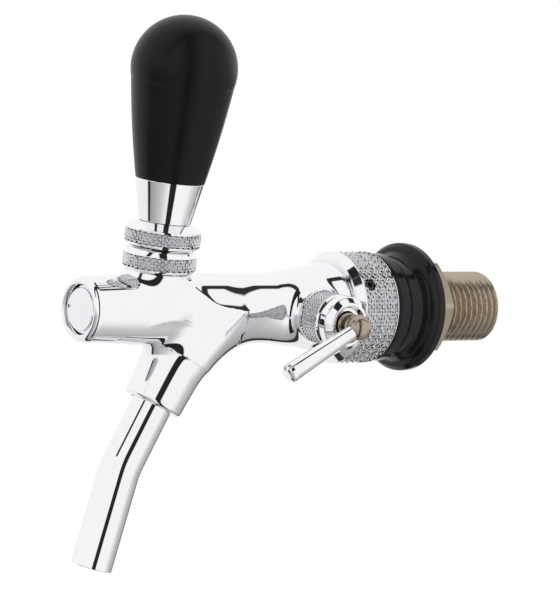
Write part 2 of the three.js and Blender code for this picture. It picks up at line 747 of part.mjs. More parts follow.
function flowStem() {
  const stem = turned([
    [0, FLOW_STEM_INNER_X],
    [FLOW_STEM_RADIUS, FLOW_STEM_INNER_X],
    [FLOW_STEM_RADIUS, FLOW_BALL_X],
    [0, FLOW_BALL_X],
  ], SMALL, sideways());
  const end = ball(FLOW_BALL_RADIUS, FLOW_BALL_X, SMALL, sideways());
  const offset = new THREE.Matrix4().makeTranslation(0, 0, FLOW_PIN_OFFSET).multiply(sideways());
  const pin = rod(FLOW_PIN_RADIUS, FLOW_PIN_INNER_X, FLOW_STEM_INNER_X + 1, 16, offset);
  const hole = rod(
    FLOW_LEVER_ROOT_RADIUS + SEAT_GAP, 0, 2 * FLOW_BALL_RADIUS, SMALL, alongLever(),
  );
  return stem.add(end).add(pin).subtract(hole).subtract(stemRingSpace(0.2));
}

function flowLever() {
  const tip = FLOW_LEVER_LENGTH;
  return turned([
    [0, SEAT_GAP],
    [FLOW_LEVER_ROOT_RADIUS, SEAT_GAP],
    [FLOW_LEVER_ROOT_RADIUS, FLOW_BALL_RADIUS],
    [FLOW_LEVER_TIP_RADIUS - 0.1, tip - 3],
    [FLOW_LEVER_TIP_RADIUS, tip - 2],
    [FLOW_LEVER_TIP_RADIUS - 0.4, tip - 0.7],
    [FLOW_LEVER_TIP_RADIUS - 1.3, tip],
    [0, tip],
  ], SMALL, alongLever());
}

/** How far the eccentric pin leaves the compensator's even travel, at most. */
function pinError() {
  const travel = radians(FLOW_TRAVEL);
  const rate = Math.sin(travel) / travel;
  const worst = Math.acos(rate);
  return FLOW_PIN_OFFSET * (Math.sin(worst) - rate * worst);
}

function compensator() {
  const grooveHalf = FLOW_PIN_RADIUS + pinError() + RUNNING_GAP;
  const vaneFront = COMPENSATOR_FRONT_Y + 4;
  const vaneRear = FLOW_Y + (FLOW_Y - vaneFront);
  const core = turned([
    [0, COMPENSATOR_FRONT_Y],
    [1.8, COMPENSATOR_FRONT_Y + 0.8],
    [COMPENSATOR_RADIUS, vaneFront],
    [COMPENSATOR_RADIUS, vaneRear],
    [COMPENSATOR_RADIUS - 0.9, BODY_END_Y],
    [2.6, COMPENSATOR_REAR_Y - 1.2],
    [1.2, COMPENSATOR_REAR_Y],
    [0, COMPENSATOR_REAR_Y],
  ], MEDIUM);
  const length = vaneRear - vaneFront;
  const reach = 2 * (CHAMBER_RADIUS + 1);
  const vaneCentre = [0, (vaneFront + vaneRear) / 2, 0];
  const vanes = block(vaneCentre, [reach, length, COMPENSATOR_VANE_WIDTH])
    .add(block(vaneCentre, [COMPENSATOR_VANE_WIDTH, length, reach]))
    .intersect(rod(CHAMBER_RADIUS - RUNNING_GAP, vaneFront - 1, vaneRear + 1, MEDIUM));
  const groove = ring(
    COMPENSATOR_GROOVE_RADIUS, reach, FLOW_Y - grooveHalf, FLOW_Y + grooveHalf, MEDIUM,
  );
  return core.add(vanes).subtract(groove);
}

add('flow_ring', flowRing(), chrome);
add('flow_cap', flowCap(), chrome);
add('flow_stem', flowStem(), nickel);
add('flow_stem_ring', stemRingSpace(0), rubber);
add('flow_lever', flowLever(), chrome);
add('compensator', compensator(), whiteNylon);

// ---------------------------------------------------------------- coupling, shank, flange, nut

const collarFront = BARREL_REAR_Y + SEAT_GAP;
const collarRear = collarFront + COLLAR_LENGTH;
const gasketFront = BODY_END_Y + SEAT_GAP;
const gasketRear = gasketFront + GASKET_THICKNESS;
const shankFront = gasketRear + SEAT_GAP;
const headRear = shankFront + SHANK_HEAD_LENGTH;

/** Places a rod turned about Y along the set screw's radial line. */
function alongScrew() {
  const place = new THREE.Matrix4().makeTranslation(0, SCREW_Y, 0);
  const swing = new THREE.Matrix4().makeRotationY(radians(SCREW_ANGLE));
  return place.multiply(swing).multiply(new THREE.Matrix4().makeRotationX(Math.PI / 2));
}

function couplingCollar() {
  const inner = SHANK_HEAD_RADIUS + 2 * SEAT_GAP;
  const lip = SHANK_RADIUS + SEAT_GAP;
  const collar = turned([
    [inner, collarFront],
    [BARREL_REAR_RADIUS + 0.8, collarFront],
    [COLLAR_RADIUS, collarFront + COLLAR_CHAMFER],
    [COLLAR_RADIUS, collarRear - 0.5],
    [COLLAR_RADIUS - 0.5, collarRear],
    [lip, collarRear],
    [lip, headRear + SEAT_GAP],
    [inner, headRear + SEAT_GAP],
    [inner, collarFront],
  ], FINE);
  const hole = rod(SCREW_RADIUS + SEAT_GAP, SPIGOT_THREAD_RADIUS, 2 * COLLAR_RADIUS, 16, alongScrew());
  return collar.subtract(hole);
}

function setScrew() {
  const inner = SPIGOT_THREAD_RADIUS + SEAT_GAP;
  const outer = COLLAR_RADIUS - 0.6;
  const screw = rod(SCREW_RADIUS, inner, outer, 16, alongScrew());
  return screw.subtract(rod(SCREW_SOCKET_RADIUS, outer - 1.6, outer + 1, 6, alongScrew()));
}

function shank() {
  const mouthEnd = shankFront + SHANK_MOUTH_LENGTH;
  return turned([
    [SHANK_MOUTH_RADIUS, shankFront],
    [SHANK_HEAD_RADIUS, shankFront],
    [SHANK_HEAD_RADIUS, headRear],
    [SHANK_RADIUS, headRear],
    [SHANK_RADIUS, SHANK_END_Y - SHANK_CHAMFER],
    [SHANK_RADIUS - SHANK_CHAMFER, SHANK_END_Y],
    [SHANK_BORE_RADIUS, SHANK_END_Y],
    [SHANK_BORE_RADIUS, mouthEnd],
    [SHANK_MOUTH_RADIUS, shankFront],
  ], FINE);
}

function flange() {
  const front = collarRear + SEAT_GAP;
  const hole = SHANK_RADIUS + SEAT_GAP;
  const rimFront = -FLANGE_RIM;
  return turned([
    [hole, front],
    [FLANGE_HUB_RADIUS - 0.8, front],
    [FLANGE_HUB_RADIUS, front + 0.8],
    [FLANGE_HUB_RADIUS, front + 3.2],
    [FLANGE_HUB_RADIUS - 1.6, front + 4.2],
    [FLANGE_HUB_RADIUS - 1.6, front + 6.2],
    [FLANGE_HUB_RADIUS, rimFront - 2],
    [FLANGE_RADIUS - 1.2, rimFront],
    [FLANGE_RADIUS, rimFront + 1.2],
    [FLANGE_RADIUS, -1],
    [FLANGE_RADIUS - 1, 0],
    [hole, 0],
    [hole, front],
  ], FINE);
}

function shankNut() {
  const from = SEAT_GAP;
  const to = from + NUT_LENGTH;
  const hole = SHANK_RADIUS + SEAT_GAP;
  const corner = NUT_FLATS_RADIUS / Math.cos(radians(30));
  const turn = new THREE.Matrix4().makeRotationY(radians(90 - NUT_TURN));
  const hexagon = rod(corner, from, to, 6, turn);
  const chamfered = turned([
    [hole, from],
    [corner - 0.8, from],
    [corner + 0.2, from + 0.6],
    [corner + 0.2, to - 1.1],
    [NUT_FLATS_RADIUS, to],
    [hole, to],
    [hole, from],
  ], FINE);
  return hexagon.intersect(chamfered);
}

const gasketInner = CHAMBER_RADIUS + 0.5;
add('coupling_collar', couplingCollar(), chrome);
add('set_screw', setScrew(), steel);
const gasketOuter = SPIGOT_THREAD_RADIUS - 0.4;
add('coupling_gasket', ring(gasketInner, gasketOuter, gasketFront, gasketRear, MEDIUM), rubber);
add('threaded_shank', shank(), nickel);
add('flange', flange(), blackGloss);
add('shank_nut', shankNut(), nickel);

export default tap;
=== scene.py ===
"""A flow-control beer tap in polished chrome, with a black grip and flange and a nickel shank.

Shapes are worked out in millimetres and put into their meshes in metres, in the frame of the
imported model: +Y runs back along the shank, the tap faces -Y and +Z is up.
"""

import math

import bmesh
import bpy
import numpy as np
from mathutils import Matrix, Vector

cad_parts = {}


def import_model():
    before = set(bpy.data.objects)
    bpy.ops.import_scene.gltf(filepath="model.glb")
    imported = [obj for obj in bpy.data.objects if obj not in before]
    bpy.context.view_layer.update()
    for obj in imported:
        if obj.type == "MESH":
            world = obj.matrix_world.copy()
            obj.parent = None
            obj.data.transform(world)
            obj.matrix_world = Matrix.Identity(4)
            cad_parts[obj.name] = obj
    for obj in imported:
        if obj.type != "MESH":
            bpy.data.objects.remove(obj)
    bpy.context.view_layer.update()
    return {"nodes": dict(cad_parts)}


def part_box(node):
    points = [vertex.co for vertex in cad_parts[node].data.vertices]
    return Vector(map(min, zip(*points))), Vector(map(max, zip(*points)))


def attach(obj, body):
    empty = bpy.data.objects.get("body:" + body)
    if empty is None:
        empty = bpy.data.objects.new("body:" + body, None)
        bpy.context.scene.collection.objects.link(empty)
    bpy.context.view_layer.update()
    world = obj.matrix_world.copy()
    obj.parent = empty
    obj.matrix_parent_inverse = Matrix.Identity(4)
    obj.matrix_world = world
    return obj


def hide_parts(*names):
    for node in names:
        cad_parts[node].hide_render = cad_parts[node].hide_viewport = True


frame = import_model()

MM = 0.001
X = np.array([1.0, 0.0, 0.0])
Y = np.array([0.0, 1.0, 0.0])
Z = np.array([0.0, 0.0, 1.0])


def node_box(node):
    """Lowest and highest corner of a CAD node, in millimetres."""
    low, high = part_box(node)
    return np.array(low) / MM, np.array(high) / MM


# ------------------------------------------------------------------ sizes, in millimetres

BODY_LOW, BODY_HIGH = node_box("faucet_body")
COLLAR_LOW, COLLAR_HIGH = node_box("coupling_collar")
SHANK_LOW, SHANK_HIGH = node_box("threaded_shank")
FLANGE_LOW, FLANGE_HIGH = node_box("flange")
NUT_LOW, NUT_HIGH = node_box("shank_nut")
PLUG_LOW, PLUG_HIGH = node_box("front_plug")
BONNET_LOW, BONNET_HIGH = node_box("bonnet_collar")
RING_LOW, RING_HIGH = node_box("flow_ring")
CAP_LOW, CAP_HIGH = node_box("flow_cap")
STEM_LOW = node_box("flow_stem")[0]
SCREW_LOW, SCREW_HIGH = node_box("set_screw")

BARREL_FRONT_Y = BODY_LOW[1]
BARREL_REAR_Y = -34.0
BARREL_FRONT_RADIUS = 10.1
BARREL_RADIUS = 11.1
BARREL_REAR_RADIUS = 14.8
BARREL_FLARE_LENGTH = 26.0
BORE_RADIUS = 7.6
LEG_ANGLE = math.radians(26)
LEG_ROOT = np.array([0.0, -84.2, 0.0])
LEG_LENGTH = 33.6
LEG_END_RADIUS = 9.4
LEG_ROOT_RADIUS = 10.9
LEG_SOCKET_DEPTH = 13.0
SPOUT_RADIUS = 6.5
SPOUT_WALL = 1.0
SPOUT_LOWER_ANGLE = math.radians(12.5)
SPOUT_BEND_DROP = 21.5
SPOUT_LOWER_LENGTH = 31.9
SPOUT_BEND_RADIUS = 26.0
HANDLE_Y = (BONNET_LOW[1] + BONNET_HIGH[1]) / 2
PIVOT_Z = 11.5
HANDLE_LEAN = math.radians(1.3)
STUD_HOLE = 2.8
BOSS_RADIUS = 10.0
BOSS_SHOULDER_Z = BONNET_LOW[2] - 0.3
BONNET_BAND = 5.0
LOCKNUT_RADIUS = 11.7
LOCKNUT_BAND = 5.3
LOCKNUT_BEVEL = 2.0
FERRULE_BOTTOM_RADIUS = 8.06
FERRULE_TOP_RADIUS = 10.65
FERRULE_HEIGHT = 12.6
SPIGOT_RADIUS = 6.0
GRIP_HEIGHT = 50.2
GRIP_BULB_RADIUS = 16.3
FLOW_Y = (RING_LOW[1] + RING_HIGH[1]) / 2
FLOW_BOSS_RADIUS = 8.4
FLOW_BOSS_REACH = RING_LOW[0] - 0.3
FLOW_RING_RADIUS = 8.4
FLOW_CAP_RADIUS = 8.6
FLOW_STEM_RADIUS = 3.7
FLOW_BALL_X = 33.0
FLOW_BALL_RADIUS = 4.0
FLOW_LEVER_ANGLE = math.radians(28.8)
FLOW_LEVER_LENGTH = 30.0
SHANK_RADIUS = 11.45
THREAD_PITCH = 2.31
THREAD_DEPTH = 1.4
SCREW_ANGLE = math.radians(55)
NUT_FLATS_RADIUS = 14.35
NUT_TURN = math.radians(10.7)


# ------------------------------------------------------------------ shader maths


class Value:
    """A shader socket that Python's operators work on: each adds one Math node."""

    def __init__(self, graph, socket):
        self.graph = graph
        self.socket = socket

    def _math(self, operation, *operands):
        return self.graph.add("ShaderNodeMath", {"operation": operation}, list(operands))

    def __add__(self, other):
        return self._math("ADD", self, other)

    def __radd__(self, other):
        return self._math("ADD", other, self)

    def __sub__(self, other):
        return self._math("SUBTRACT", self, other)

    def __rsub__(self, other):
        return self._math("SUBTRACT", other, self)

    def __mul__(self, other):
        return self._math("MULTIPLY", self, other)

    def __rmul__(self, other):
        return self._math("MULTIPLY", other, self)

    def __pow__(self, other):
        return self._math("POWER", self, other)


class Graph:
    """A node tree with one method that adds a node, sets it up and links its sockets."""

    def __init__(self, owner):
        owner.use_nodes = True
        self.tree = owner.node_tree
        self.tree.nodes.clear()

    def add(self, kind, settings=None, inputs=None, output=0):
        """Adds a node. inputs is a list, or a dict by socket name; links are Value objects."""
        node = self.tree.nodes.new(kind)
        for name, setting in (settings or {}).items():
            if name == "stops":
                self._set_stops(node.color_ramp, setting)
            else:
                setattr(node, name, setting)
        pairs = inputs.items() if isinstance(inputs, dict) else enumerate(inputs or [])
        for name, given in pairs:
            if isinstance(given, Value):
                self.tree.links.new(given.socket, node.inputs[name])
            else:
                node.inputs[name].default_value = given
        return Value(self, node.outputs[output]) if node.outputs else node

    @staticmethod
    def _set_stops(ramp, stops):
        """Gives a colour ramp its (position, colour) stops."""
        while len(ramp.elements) > 1:
            ramp.elements.remove(ramp.elements[-1])
        ramp.elements[0].position, ramp.elements[0].color = stops[0]
        for position, colour in stops[1:]:
            ramp.elements.new(position).color = colour

    def mix(self, factor, first, second):
        """A colour between two, by a factor."""
        sockets = {0: factor, 6: first, 7: second}
        return self.add("ShaderNodeMix", {"data_type": "RGBA"}, sockets, output=2)

    def ramp(self, stops, factor):
        """A grey read off (position, brightness) stops."""
        greys = [(position, grey(level)) for position, level in stops]
        return self.add("ShaderNodeValToRGB", {"stops": greys}, [factor])

    def place(self, scale=(1, 1, 1)):
        """Object coordinates, scaled."""
        coordinates = self.add("ShaderNodeTexCoord", output=3)
        return self.add("ShaderNodeMapping", None, {"Vector": coordinates, "Scale": scale})

    def noise(self, vector, scale, detail=4.0, roughness=0.55):
        sockets = {"Vector": vector, "Scale": scale, "Detail": detail, "Roughness": roughness}
        return self.add("ShaderNodeTexNoise", None, sockets)

    def bump(self, height, strength, distance):
        sockets = {"Height": height, "Strength": strength, "Distance": distance}
        return self.add("ShaderNodeBump", None, sockets)


def grey(level):
    return (level, level, level, 1.0)


def finish_material(name, build):
    """A material whose Principled shader gets the sockets that build returns."""
    material = bpy.data.materials.new(name)
    graph = Graph(material)
    shader = graph.add("ShaderNodeBsdfPrincipled", None, build(graph))
    graph.add("ShaderNodeOutputMaterial", None, {"Surface": shader})
    return material


def polished_chrome(graph):
    """Mirror plate: faint polishing haze and swirls, hardly any colour."""
    haze = graph.noise(graph.place(), 60.0, 3.0)
    scratches = graph.noise(graph.place((1.0, 0.08, 1.0)), 900.0, 2.0)
    tone = graph.mix(haze, (0.86, 0.87, 0.89, 1), (0.93, 0.935, 0.95, 1))
    return {
        "Base Color": tone,
        "Metallic": 1.0,
        "Roughness": 0.028 + haze * 0.03 + scratches * 0.012,
        "Normal": graph.bump(haze, 0.02, 0.00002),
    }


def knurled_chrome(graph):
    """Plated knurling, its tone and roughness varied by a fine haze."""
    haze = graph.noise(graph.place(), 220.0, 4.0)
    tone = graph.mix(haze, (0.60, 0.61, 0.63, 1), (0.80, 0.805, 0.82, 1))
    return {"Base Color": tone, "Metallic": 1.0, "Roughness": 0.05 + haze * 0.06}


def warm_nickel(graph):
    """Satin nickel plate with a champagne cast and fine turning marks."""
    cloud = graph.noise(graph.place(), 90.0, 4.0)
    marks = graph.noise(graph.place((0.3, 6.0, 0.3)), 700.0, 2.0)
    tone = graph.mix(cloud, (0.38, 0.315, 0.24, 1), (0.52, 0.445, 0.36, 1))
    return {
        "Base Color": tone,
        "Metallic": 1.0,
        "Roughness": 0.17 + cloud * 0.10 + marks * 0.05,
        "Normal": graph.bump(marks, 0.08, 0.00002),
    }


def turned_steel(graph):
    """Turned stainless steel."""
    cloud = graph.noise(graph.place(), 120.0, 3.0)
    marks = graph.noise(graph.place((1.0, 5.0, 1.0)), 600.0, 2.0)
    tone = graph.mix(cloud, (0.52, 0.53, 0.54, 1), (0.66, 0.67, 0.68, 1))
    return {"Base Color": tone, "Metallic": 1.0, "Roughness": 0.2 + marks * 0.15}


def dark_steel(graph):
    """Blackened hardened steel, as of a small grub screw."""
    cloud = graph.noise(graph.place(), 400.0, 3.0)
    tone = graph.mix(cloud, (0.03, 0.03, 0.033, 1), (0.09, 0.09, 0.095, 1))
    return {"Base Color": tone, "Metallic": 0.7, "Roughness": 0.3 + cloud * 0.2}


def satin_grip(graph):
    """Moulded black plastic, satin, with a fine even grain and slight handling wear."""
    grain = graph.noise(graph.place(), 2600.0, 2.0)
    wear = graph.noise(graph.place((1, 1, 0.5)), 70.0, 5.0)
    tone = graph.mix(wear, (0.002, 0.002, 0.0022, 1), (0.005, 0.005, 0.0054, 1))
    return {
        "Base Color": tone,
        "Roughness": 0.27 + wear * 0.1,
        "Specular IOR Level": 0.16,
        "Normal": graph.bump(grain, 0.12, 0.00003),
    }


def black_gloss(graph):
    """Gloss black plastic with a slight moulding ripple."""
    ripple = graph.noise(graph.place(), 110.0, 2.0)
    tone = graph.mix(ripple, (0.004, 0.004, 0.0045, 1), (0.010, 0.010, 0.011, 1))
    return {
        "Base Color": tone,
        "Roughness": 0.09 + ripple * 0.07,
        "Specular IOR Level": 0.22,
        "Normal": graph.bump(ripple, 0.03, 0.00006),
    }


def seal_rubber(graph):
    """Matt black seal rubber with a dusty bloom."""
    bloom = graph.noise(graph.place(), 300.0, 5.0)
    tone = graph.mix(bloom, (0.015, 0.015, 0.015, 1), (0.05, 0.05, 0.05, 1))
    normal = graph.bump(bloom, 0.3, 0.00005)
    return {"Base Color": tone, "Roughness": 0.65 + bloom * 0.2, "Normal": normal}


def moulded_nylon(graph):
    """Off-white nylon."""
    cloud = graph.noise(graph.place(), 150.0, 4.0)
    tone = graph.mix(cloud, (0.72, 0.70, 0.64, 1), (0.84, 0.83, 0.79, 1))
    normal = graph.bump(cloud, 0.1, 0.00003)
    return {"Base Color": tone, "Roughness": 0.42 + cloud * 0.15, "Normal": normal}


MATERIALS = {
    "chrome": finish_material("polished_chrome", polished_chrome),
    "knurl": finish_material("knurled_chrome", knurled_chrome),
    "nickel": finish_material("warm_nickel", warm_nickel),
    "steel": finish_material("turned_steel", turned_steel),
    "dark_steel": finish_material("dark_steel", dark_steel),
    "black_grip": finish_material("satin_grip", satin_grip),
    "black_gloss": finish_material("black_gloss", black_gloss),
    "seal_rubber": finish_material("seal_rubber", seal_rubber),
    "nylon": finish_material("moulded_nylon", moulded_nylon),
}


# ------------------------------------------------------------------ profiles


def arc(centre_r, centre_s, radius, start, end, steps):
    """Points on a circle of a profile, from one angle in degrees to another."""
    angle = np.radians(np.linspace(start, end, steps + 1))
    return np.stack([centre_r + radius * np.cos(angle), centre_s + radius * np.sin(angle)], 1)


def rounded(corners, steps=6):
    """A profile whose corners are arcs.

    corners lists (r, s, fillet radius). Each filleted corner becomes an arc that touches both of
    its sides, between two points set just beyond it, which keep the flat sides flat in shading.
    """
    points = [np.array(corner[:2], float) for corner in corners]
    made = []
    for i, (_, _, fillet) in enumerate(corners):
        here = points[i]
        if not fillet or i in (0, len(corners) - 1):
            made.append(here)
            continue
        back, ahead = points[i - 1] - here, points[i + 1] - here
        back_length, ahead_length = np.linalg.norm(back), np.linalg.norm(ahead)
        back, ahead = back / back_length, ahead / ahead_length
        half = math.acos(float(np.clip(back @ ahead, -1, 1))) / 2
        reach = min(fillet / math.tan(half), 0.48 * back_length, 0.48 * ahead_length)
        radius = reach * math.tan(half)
        middle = back + ahead
        centre = here + middle / np.linalg.norm(middle) * radius / math.sin(half)
        first, last = here + back * reach - centre, here + ahead * reach - centre
        turn = math.acos(float(np.clip(first @ last / radius**2, -1, 1)))
        share = np.linspace(0, 1, steps + 1)[:, None]
        bend = (np.sin((1 - share) * turn) * first + np.sin(share * turn) * last) / math.sin(turn)
        support = min(0.12, 0.3 * reach)
        made.append(here + back * (reach + support))
        made.extend(centre + bend)
        made.append(here + ahead * (reach + support))
    return np.array(made)


# ------------------------------------------------------------------ surfaces


class Axis:
    """A straight axis: where a distance along it and a radius at an angle come to."""

    def __init__(self, origin, direction, side):
        self.origin = np.array(origin, float)
        self.along = np.array(direction, float) / np.linalg.norm(direction)
        side = np.array(side, float) - self.along * (np.array(side, float) @ self.along)
        self.side = side / np.linalg.norm(side)
        self.other = np.cross(self.along, self.side)

    def at(self, distance):
        """Centre and the two cross directions at distances along the axis."""
        shape = np.shape(distance) + (3,)
        centre = self.origin + np.asarray(distance)[..., None] * self.along
        return centre, np.broadcast_to(self.side, shape), np.broadcast_to(self.other, shape)


BARREL_AXIS = Axis((0, 0, 0), Y, Z)
BOSS_AXIS = Axis((0, HANDLE_Y, 0), Z, X)
FLOW_AXIS = Axis((0, FLOW_Y, 0), X, Z)
LEG_AXIS = Axis(LEG_ROOT, (0, -math.sin(LEG_ANGLE), -math.cos(LEG_ANGLE)), X)


def handle_axis():
    """The shut handle's axis, which leans back about the ball joint; heights stay as Z."""
    lean = np.array([0.0, math.sin(HANDLE_LEAN), math.cos(HANDLE_LEAN)])
    pivot = np.array([0.0, HANDLE_Y, PIVOT_Z])
    return Axis(pivot - PIVOT_Z * lean, lean, X)


HANDLE_AXIS = handle_axis()
LEVER_AXIS = Axis(
    (FLOW_BALL_X, FLOW_Y, 0),
    (0, -math.cos(FLOW_LEVER_ANGLE), -math.sin(FLOW_LEVER_ANGLE)),
    X,
)
SCREW_AXIS = Axis(
    (0, (SCREW_LOW[1] + SCREW_HIGH[1]) / 2, 0), (math.sin(SCREW_ANGLE), 0, math.cos(SCREW_ANGLE)), Y
)


class SpoutPath:
    """The spout's centre line: straight down the leg, an arc in the bend, straight to the end."""

    def __init__(self):
        turn = LEG_ANGLE - SPOUT_LOWER_ANGLE
        reach = SPOUT_BEND_RADIUS * math.tan(turn / 2)
        self.bend_from = LEG_LENGTH + SPOUT_BEND_DROP - reach
        self.bend_to = self.bend_from + SPOUT_BEND_RADIUS * turn
        self.end = self.bend_to + SPOUT_LOWER_LENGTH - reach

    def at(self, distance):
        """Centre and cross directions: the heading's angle falls evenly through the bend."""
        distance = np.asarray(distance, float)
        inside = np.clip(distance - self.bend_from, 0, self.bend_to - self.bend_from)
        angle = LEG_ANGLE - inside / SPOUT_BEND_RADIUS
        upper = np.minimum(distance, self.bend_from)
        lower = np.maximum(distance - self.bend_to, 0)
        forward = upper * math.sin(LEG_ANGLE)
        forward = forward + SPOUT_BEND_RADIUS * (np.cos(angle) - math.cos(LEG_ANGLE))
        forward = forward + lower * math.sin(SPOUT_LOWER_ANGLE)
        drop = upper * math.cos(LEG_ANGLE)
        drop = drop + SPOUT_BEND_RADIUS * (math.sin(LEG_ANGLE) - np.sin(angle))
        drop = drop + lower * math.cos(SPOUT_LOWER_ANGLE)
        nothing = np.zeros_like(forward)
        centre = LEG_ROOT + np.stack([nothing, -forward, -drop], -1)
        side = np.broadcast_to(X, centre.shape)
        other = np.stack([nothing, -np.cos(angle), np.sin(angle)], -1)
        return centre, side, other


def grid_faces(rows, columns, wrap_rows):
    """Quads of a grid that closes in its columns, and in its rows where that is asked for."""
    row = np.arange(rows if wrap_rows else rows - 1)[:, None]
    column = np.arange(columns)[None, :]
    after, beside = (row + 1) % rows, (column + 1) % columns
    corners = [
        row * columns + column,
        row * columns + beside,
        after * columns + beside,
        after * columns + column,
    ]
    return np.stack(corners, -1).reshape(-1, 4)


def carried(profile, path, segments, relief=None):
    """A profile carried round and along a path.

    profile is an array of (radius, distance). The point at angle a is the path's centre at that
    distance, plus radius times cos a along one cross direction and sin a along the other. relief
    takes radius, distance and angle grids and gives the radius with its pattern cut in.
    """
    radius, distance = np.asarray(profile, float).T
    angle = np.linspace(0, 2 * np.pi, segments, endpoint=False)
    centre, side, other = path.at(distance)
    reach = np.repeat(radius[:, None], segments, axis=1)
    if relief is not None:
        reach = relief(reach, distance[:, None], angle[None, :])
    cosine, sine = np.cos(angle)[None, :, None], np.sin(angle)[None, :, None]
    ring = cosine * side[:, None, :] + sine * other[:, None, :]
    points = centre[:, None, :] + reach[..., None] * ring
    closed = np.allclose(profile[0], profile[-1])
    if closed:
        points = points[:-1]
    return points.reshape(-1, 3), grid_faces(len(points), segments, closed)


SHARP_ANGLE = math.radians(38)
JOIN_DISTANCE = 1e-8


def piece(name, surfaces, body, nodes=(), finishes=("chrome",)):
    """One object made of surfaces, each with the finish of the same place in finishes."""
    mesh = bpy.data.meshes.new(name)
    points, faces, looks, start = [], [], [], 0
    for i, (vertices, quads) in enumerate(surfaces):
        points.append(vertices)
        faces.extend((quads + start).tolist())
        looks.extend([min(i, len(finishes) - 1)] * len(quads))
        start += len(vertices)
    mesh.from_pydata((np.concatenate(points) * MM).tolist(), [], faces)
    for finish in finishes:
        mesh.materials.append(MATERIALS[finish])
    mesh.polygons.foreach_set("material_index", looks)
    made = bmesh.new()
    made.from_mesh(mesh)
    bmesh.ops.remove_doubles(made, verts=made.verts, dist=JOIN_DISTANCE)
    bmesh.ops.dissolve_degenerate(made, edges=made.edges, dist=JOIN_DISTANCE)
    bmesh.ops.recalc_face_normals(made, faces=made.faces)
    made.to_mesh(mesh)
    made.free()
    mesh.shade_smooth()
    mesh.set_sharp_from_angle(angle=SHARP_ANGLE)
    return shown(name, mesh, body, nodes)


def shown(name, mesh, body, nodes):
    """Links a mesh as an object that rides on a body and stands for CAD nodes."""
    made = bpy.data.objects.new(name, mesh)
    bpy.context.collection.objects.link(made)
    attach(made, body)
    if nodes:
        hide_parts(*nodes)
    return made


def turned(name, corners, path, body, node, finish="chrome", segments=128):
    """A turned piece from filleted corners."""
    surface = carried(rounded(corners), path, segments)
    return piece(name, [surface], body, (node,), (finish,))


# ------------------------------------------------------------------ knurls and threads


def wave(phase):
    """A triangle wave: 0 at whole numbers and 1 half way between them."""
    return 1 - np.abs(2 * (phase % 1) - 1)


def knurl(low, high, count, lead, depth):
    """Diamond knurling between two distances.

    Two families of count grooves run round the piece, one rising and one falling by a turn in
    lead. Each point stands as high as the lower of the two triangle waves, less at the ends.
    """

    def relief(radius, distance, angle):
        turns = angle / (2 * np.pi)
        rising = wave(count * (turns + distance / lead))
        falling = wave(count * (turns - distance / lead))
        points = np.minimum(np.minimum(rising, falling) * 1.6, 1)
        edge = np.clip(np.minimum(distance - low, high - distance) / 0.35, 0, 1)
        return radius - depth * (1 - points) * edge

    return relief


def band(radius, low, high, step):
    """Points along a straight band, closely set for a pattern."""
    count = max(int(round((high - low) / step)), 2)
    distance = np.linspace(low, high, count + 1)
    return np.stack([np.full(count + 1, radius), distance], 1)


def thread(low, high, pitch, depth):
    """A right-handed screw thread between two distances.

    The radius falls by depth times a flattened triangle wave of distance over pitch less the
    turn, and the groove runs out at both ends.
    """

    def relief(radius, distance, angle):
        phase = distance / pitch - angle / (2 * np.pi)
        groove = np.clip(wave(phase) * 1.35 - 0.2, 0, 1)
        runout = np.clip(np.minimum(distance - low, high - distance) / (0.7 * pitch) + 0.25, 0, 1)
        inside = (distance > low) & (distance < high) & (radius > SHANK_RADIUS - 1.2)
        return np.where(inside, radius - depth * groove * runout, radius)

    return relief


# ------------------------------------------------------------------ tap body


def smooth_min(a, b, reach):
    """The lower of two fields, blended over reach: min less a quarter of reach times h squared."""
    blend = np.clip(reach - np.abs(a - b), 0, None) / reach
    return np.minimum(a, b) - blend**2 * reach / 4


def smooth_max(a, b, reach):
    return -smooth_min(-a, -b, reach)


def barrel_radius(y):
    """The barrel widens gently behind its front lip and flares to the coupling at its rear."""
    share = np.clip((y - BARREL_FRONT_Y) / (HANDLE_Y - BARREL_FRONT_Y), 0, 1)
    front = BARREL_FRONT_RADIUS + (BARREL_RADIUS - BARREL_FRONT_RADIUS) * share**2 * (3 - 2 * share)
    flare = np.clip(1 - (BARREL_REAR_Y - y) / BARREL_FLARE_LENGTH, 0, 1)
    return front + (BARREL_REAR_RADIUS - BARREL_RADIUS) * flare**1.3


def round_field(points, axis, radius, low, high, edge):
    """Signed distance of a turned solid: radial distance less radius, cut at two distances."""
    offset = points - axis.origin
    distance = offset @ axis.along
    radial = np.sqrt(np.maximum((offset**2).sum(-1) - distance**2, 1e-12))
    reach = radius(distance) if callable(radius) else radius
    ends = np.maximum(low - distance, distance - high)
    side = radial - reach
    return smooth_max(side, ends, edge) if edge else np.maximum(side, ends)


def leg_radius(distance):
    share = np.clip((distance - 0.5 * LEG_LENGTH) / (0.5 * LEG_LENGTH), 0, 1)
    return LEG_ROOT_RADIUS + (LEG_END_RADIUS - LEG_ROOT_RADIUS) * np.sqrt(share)


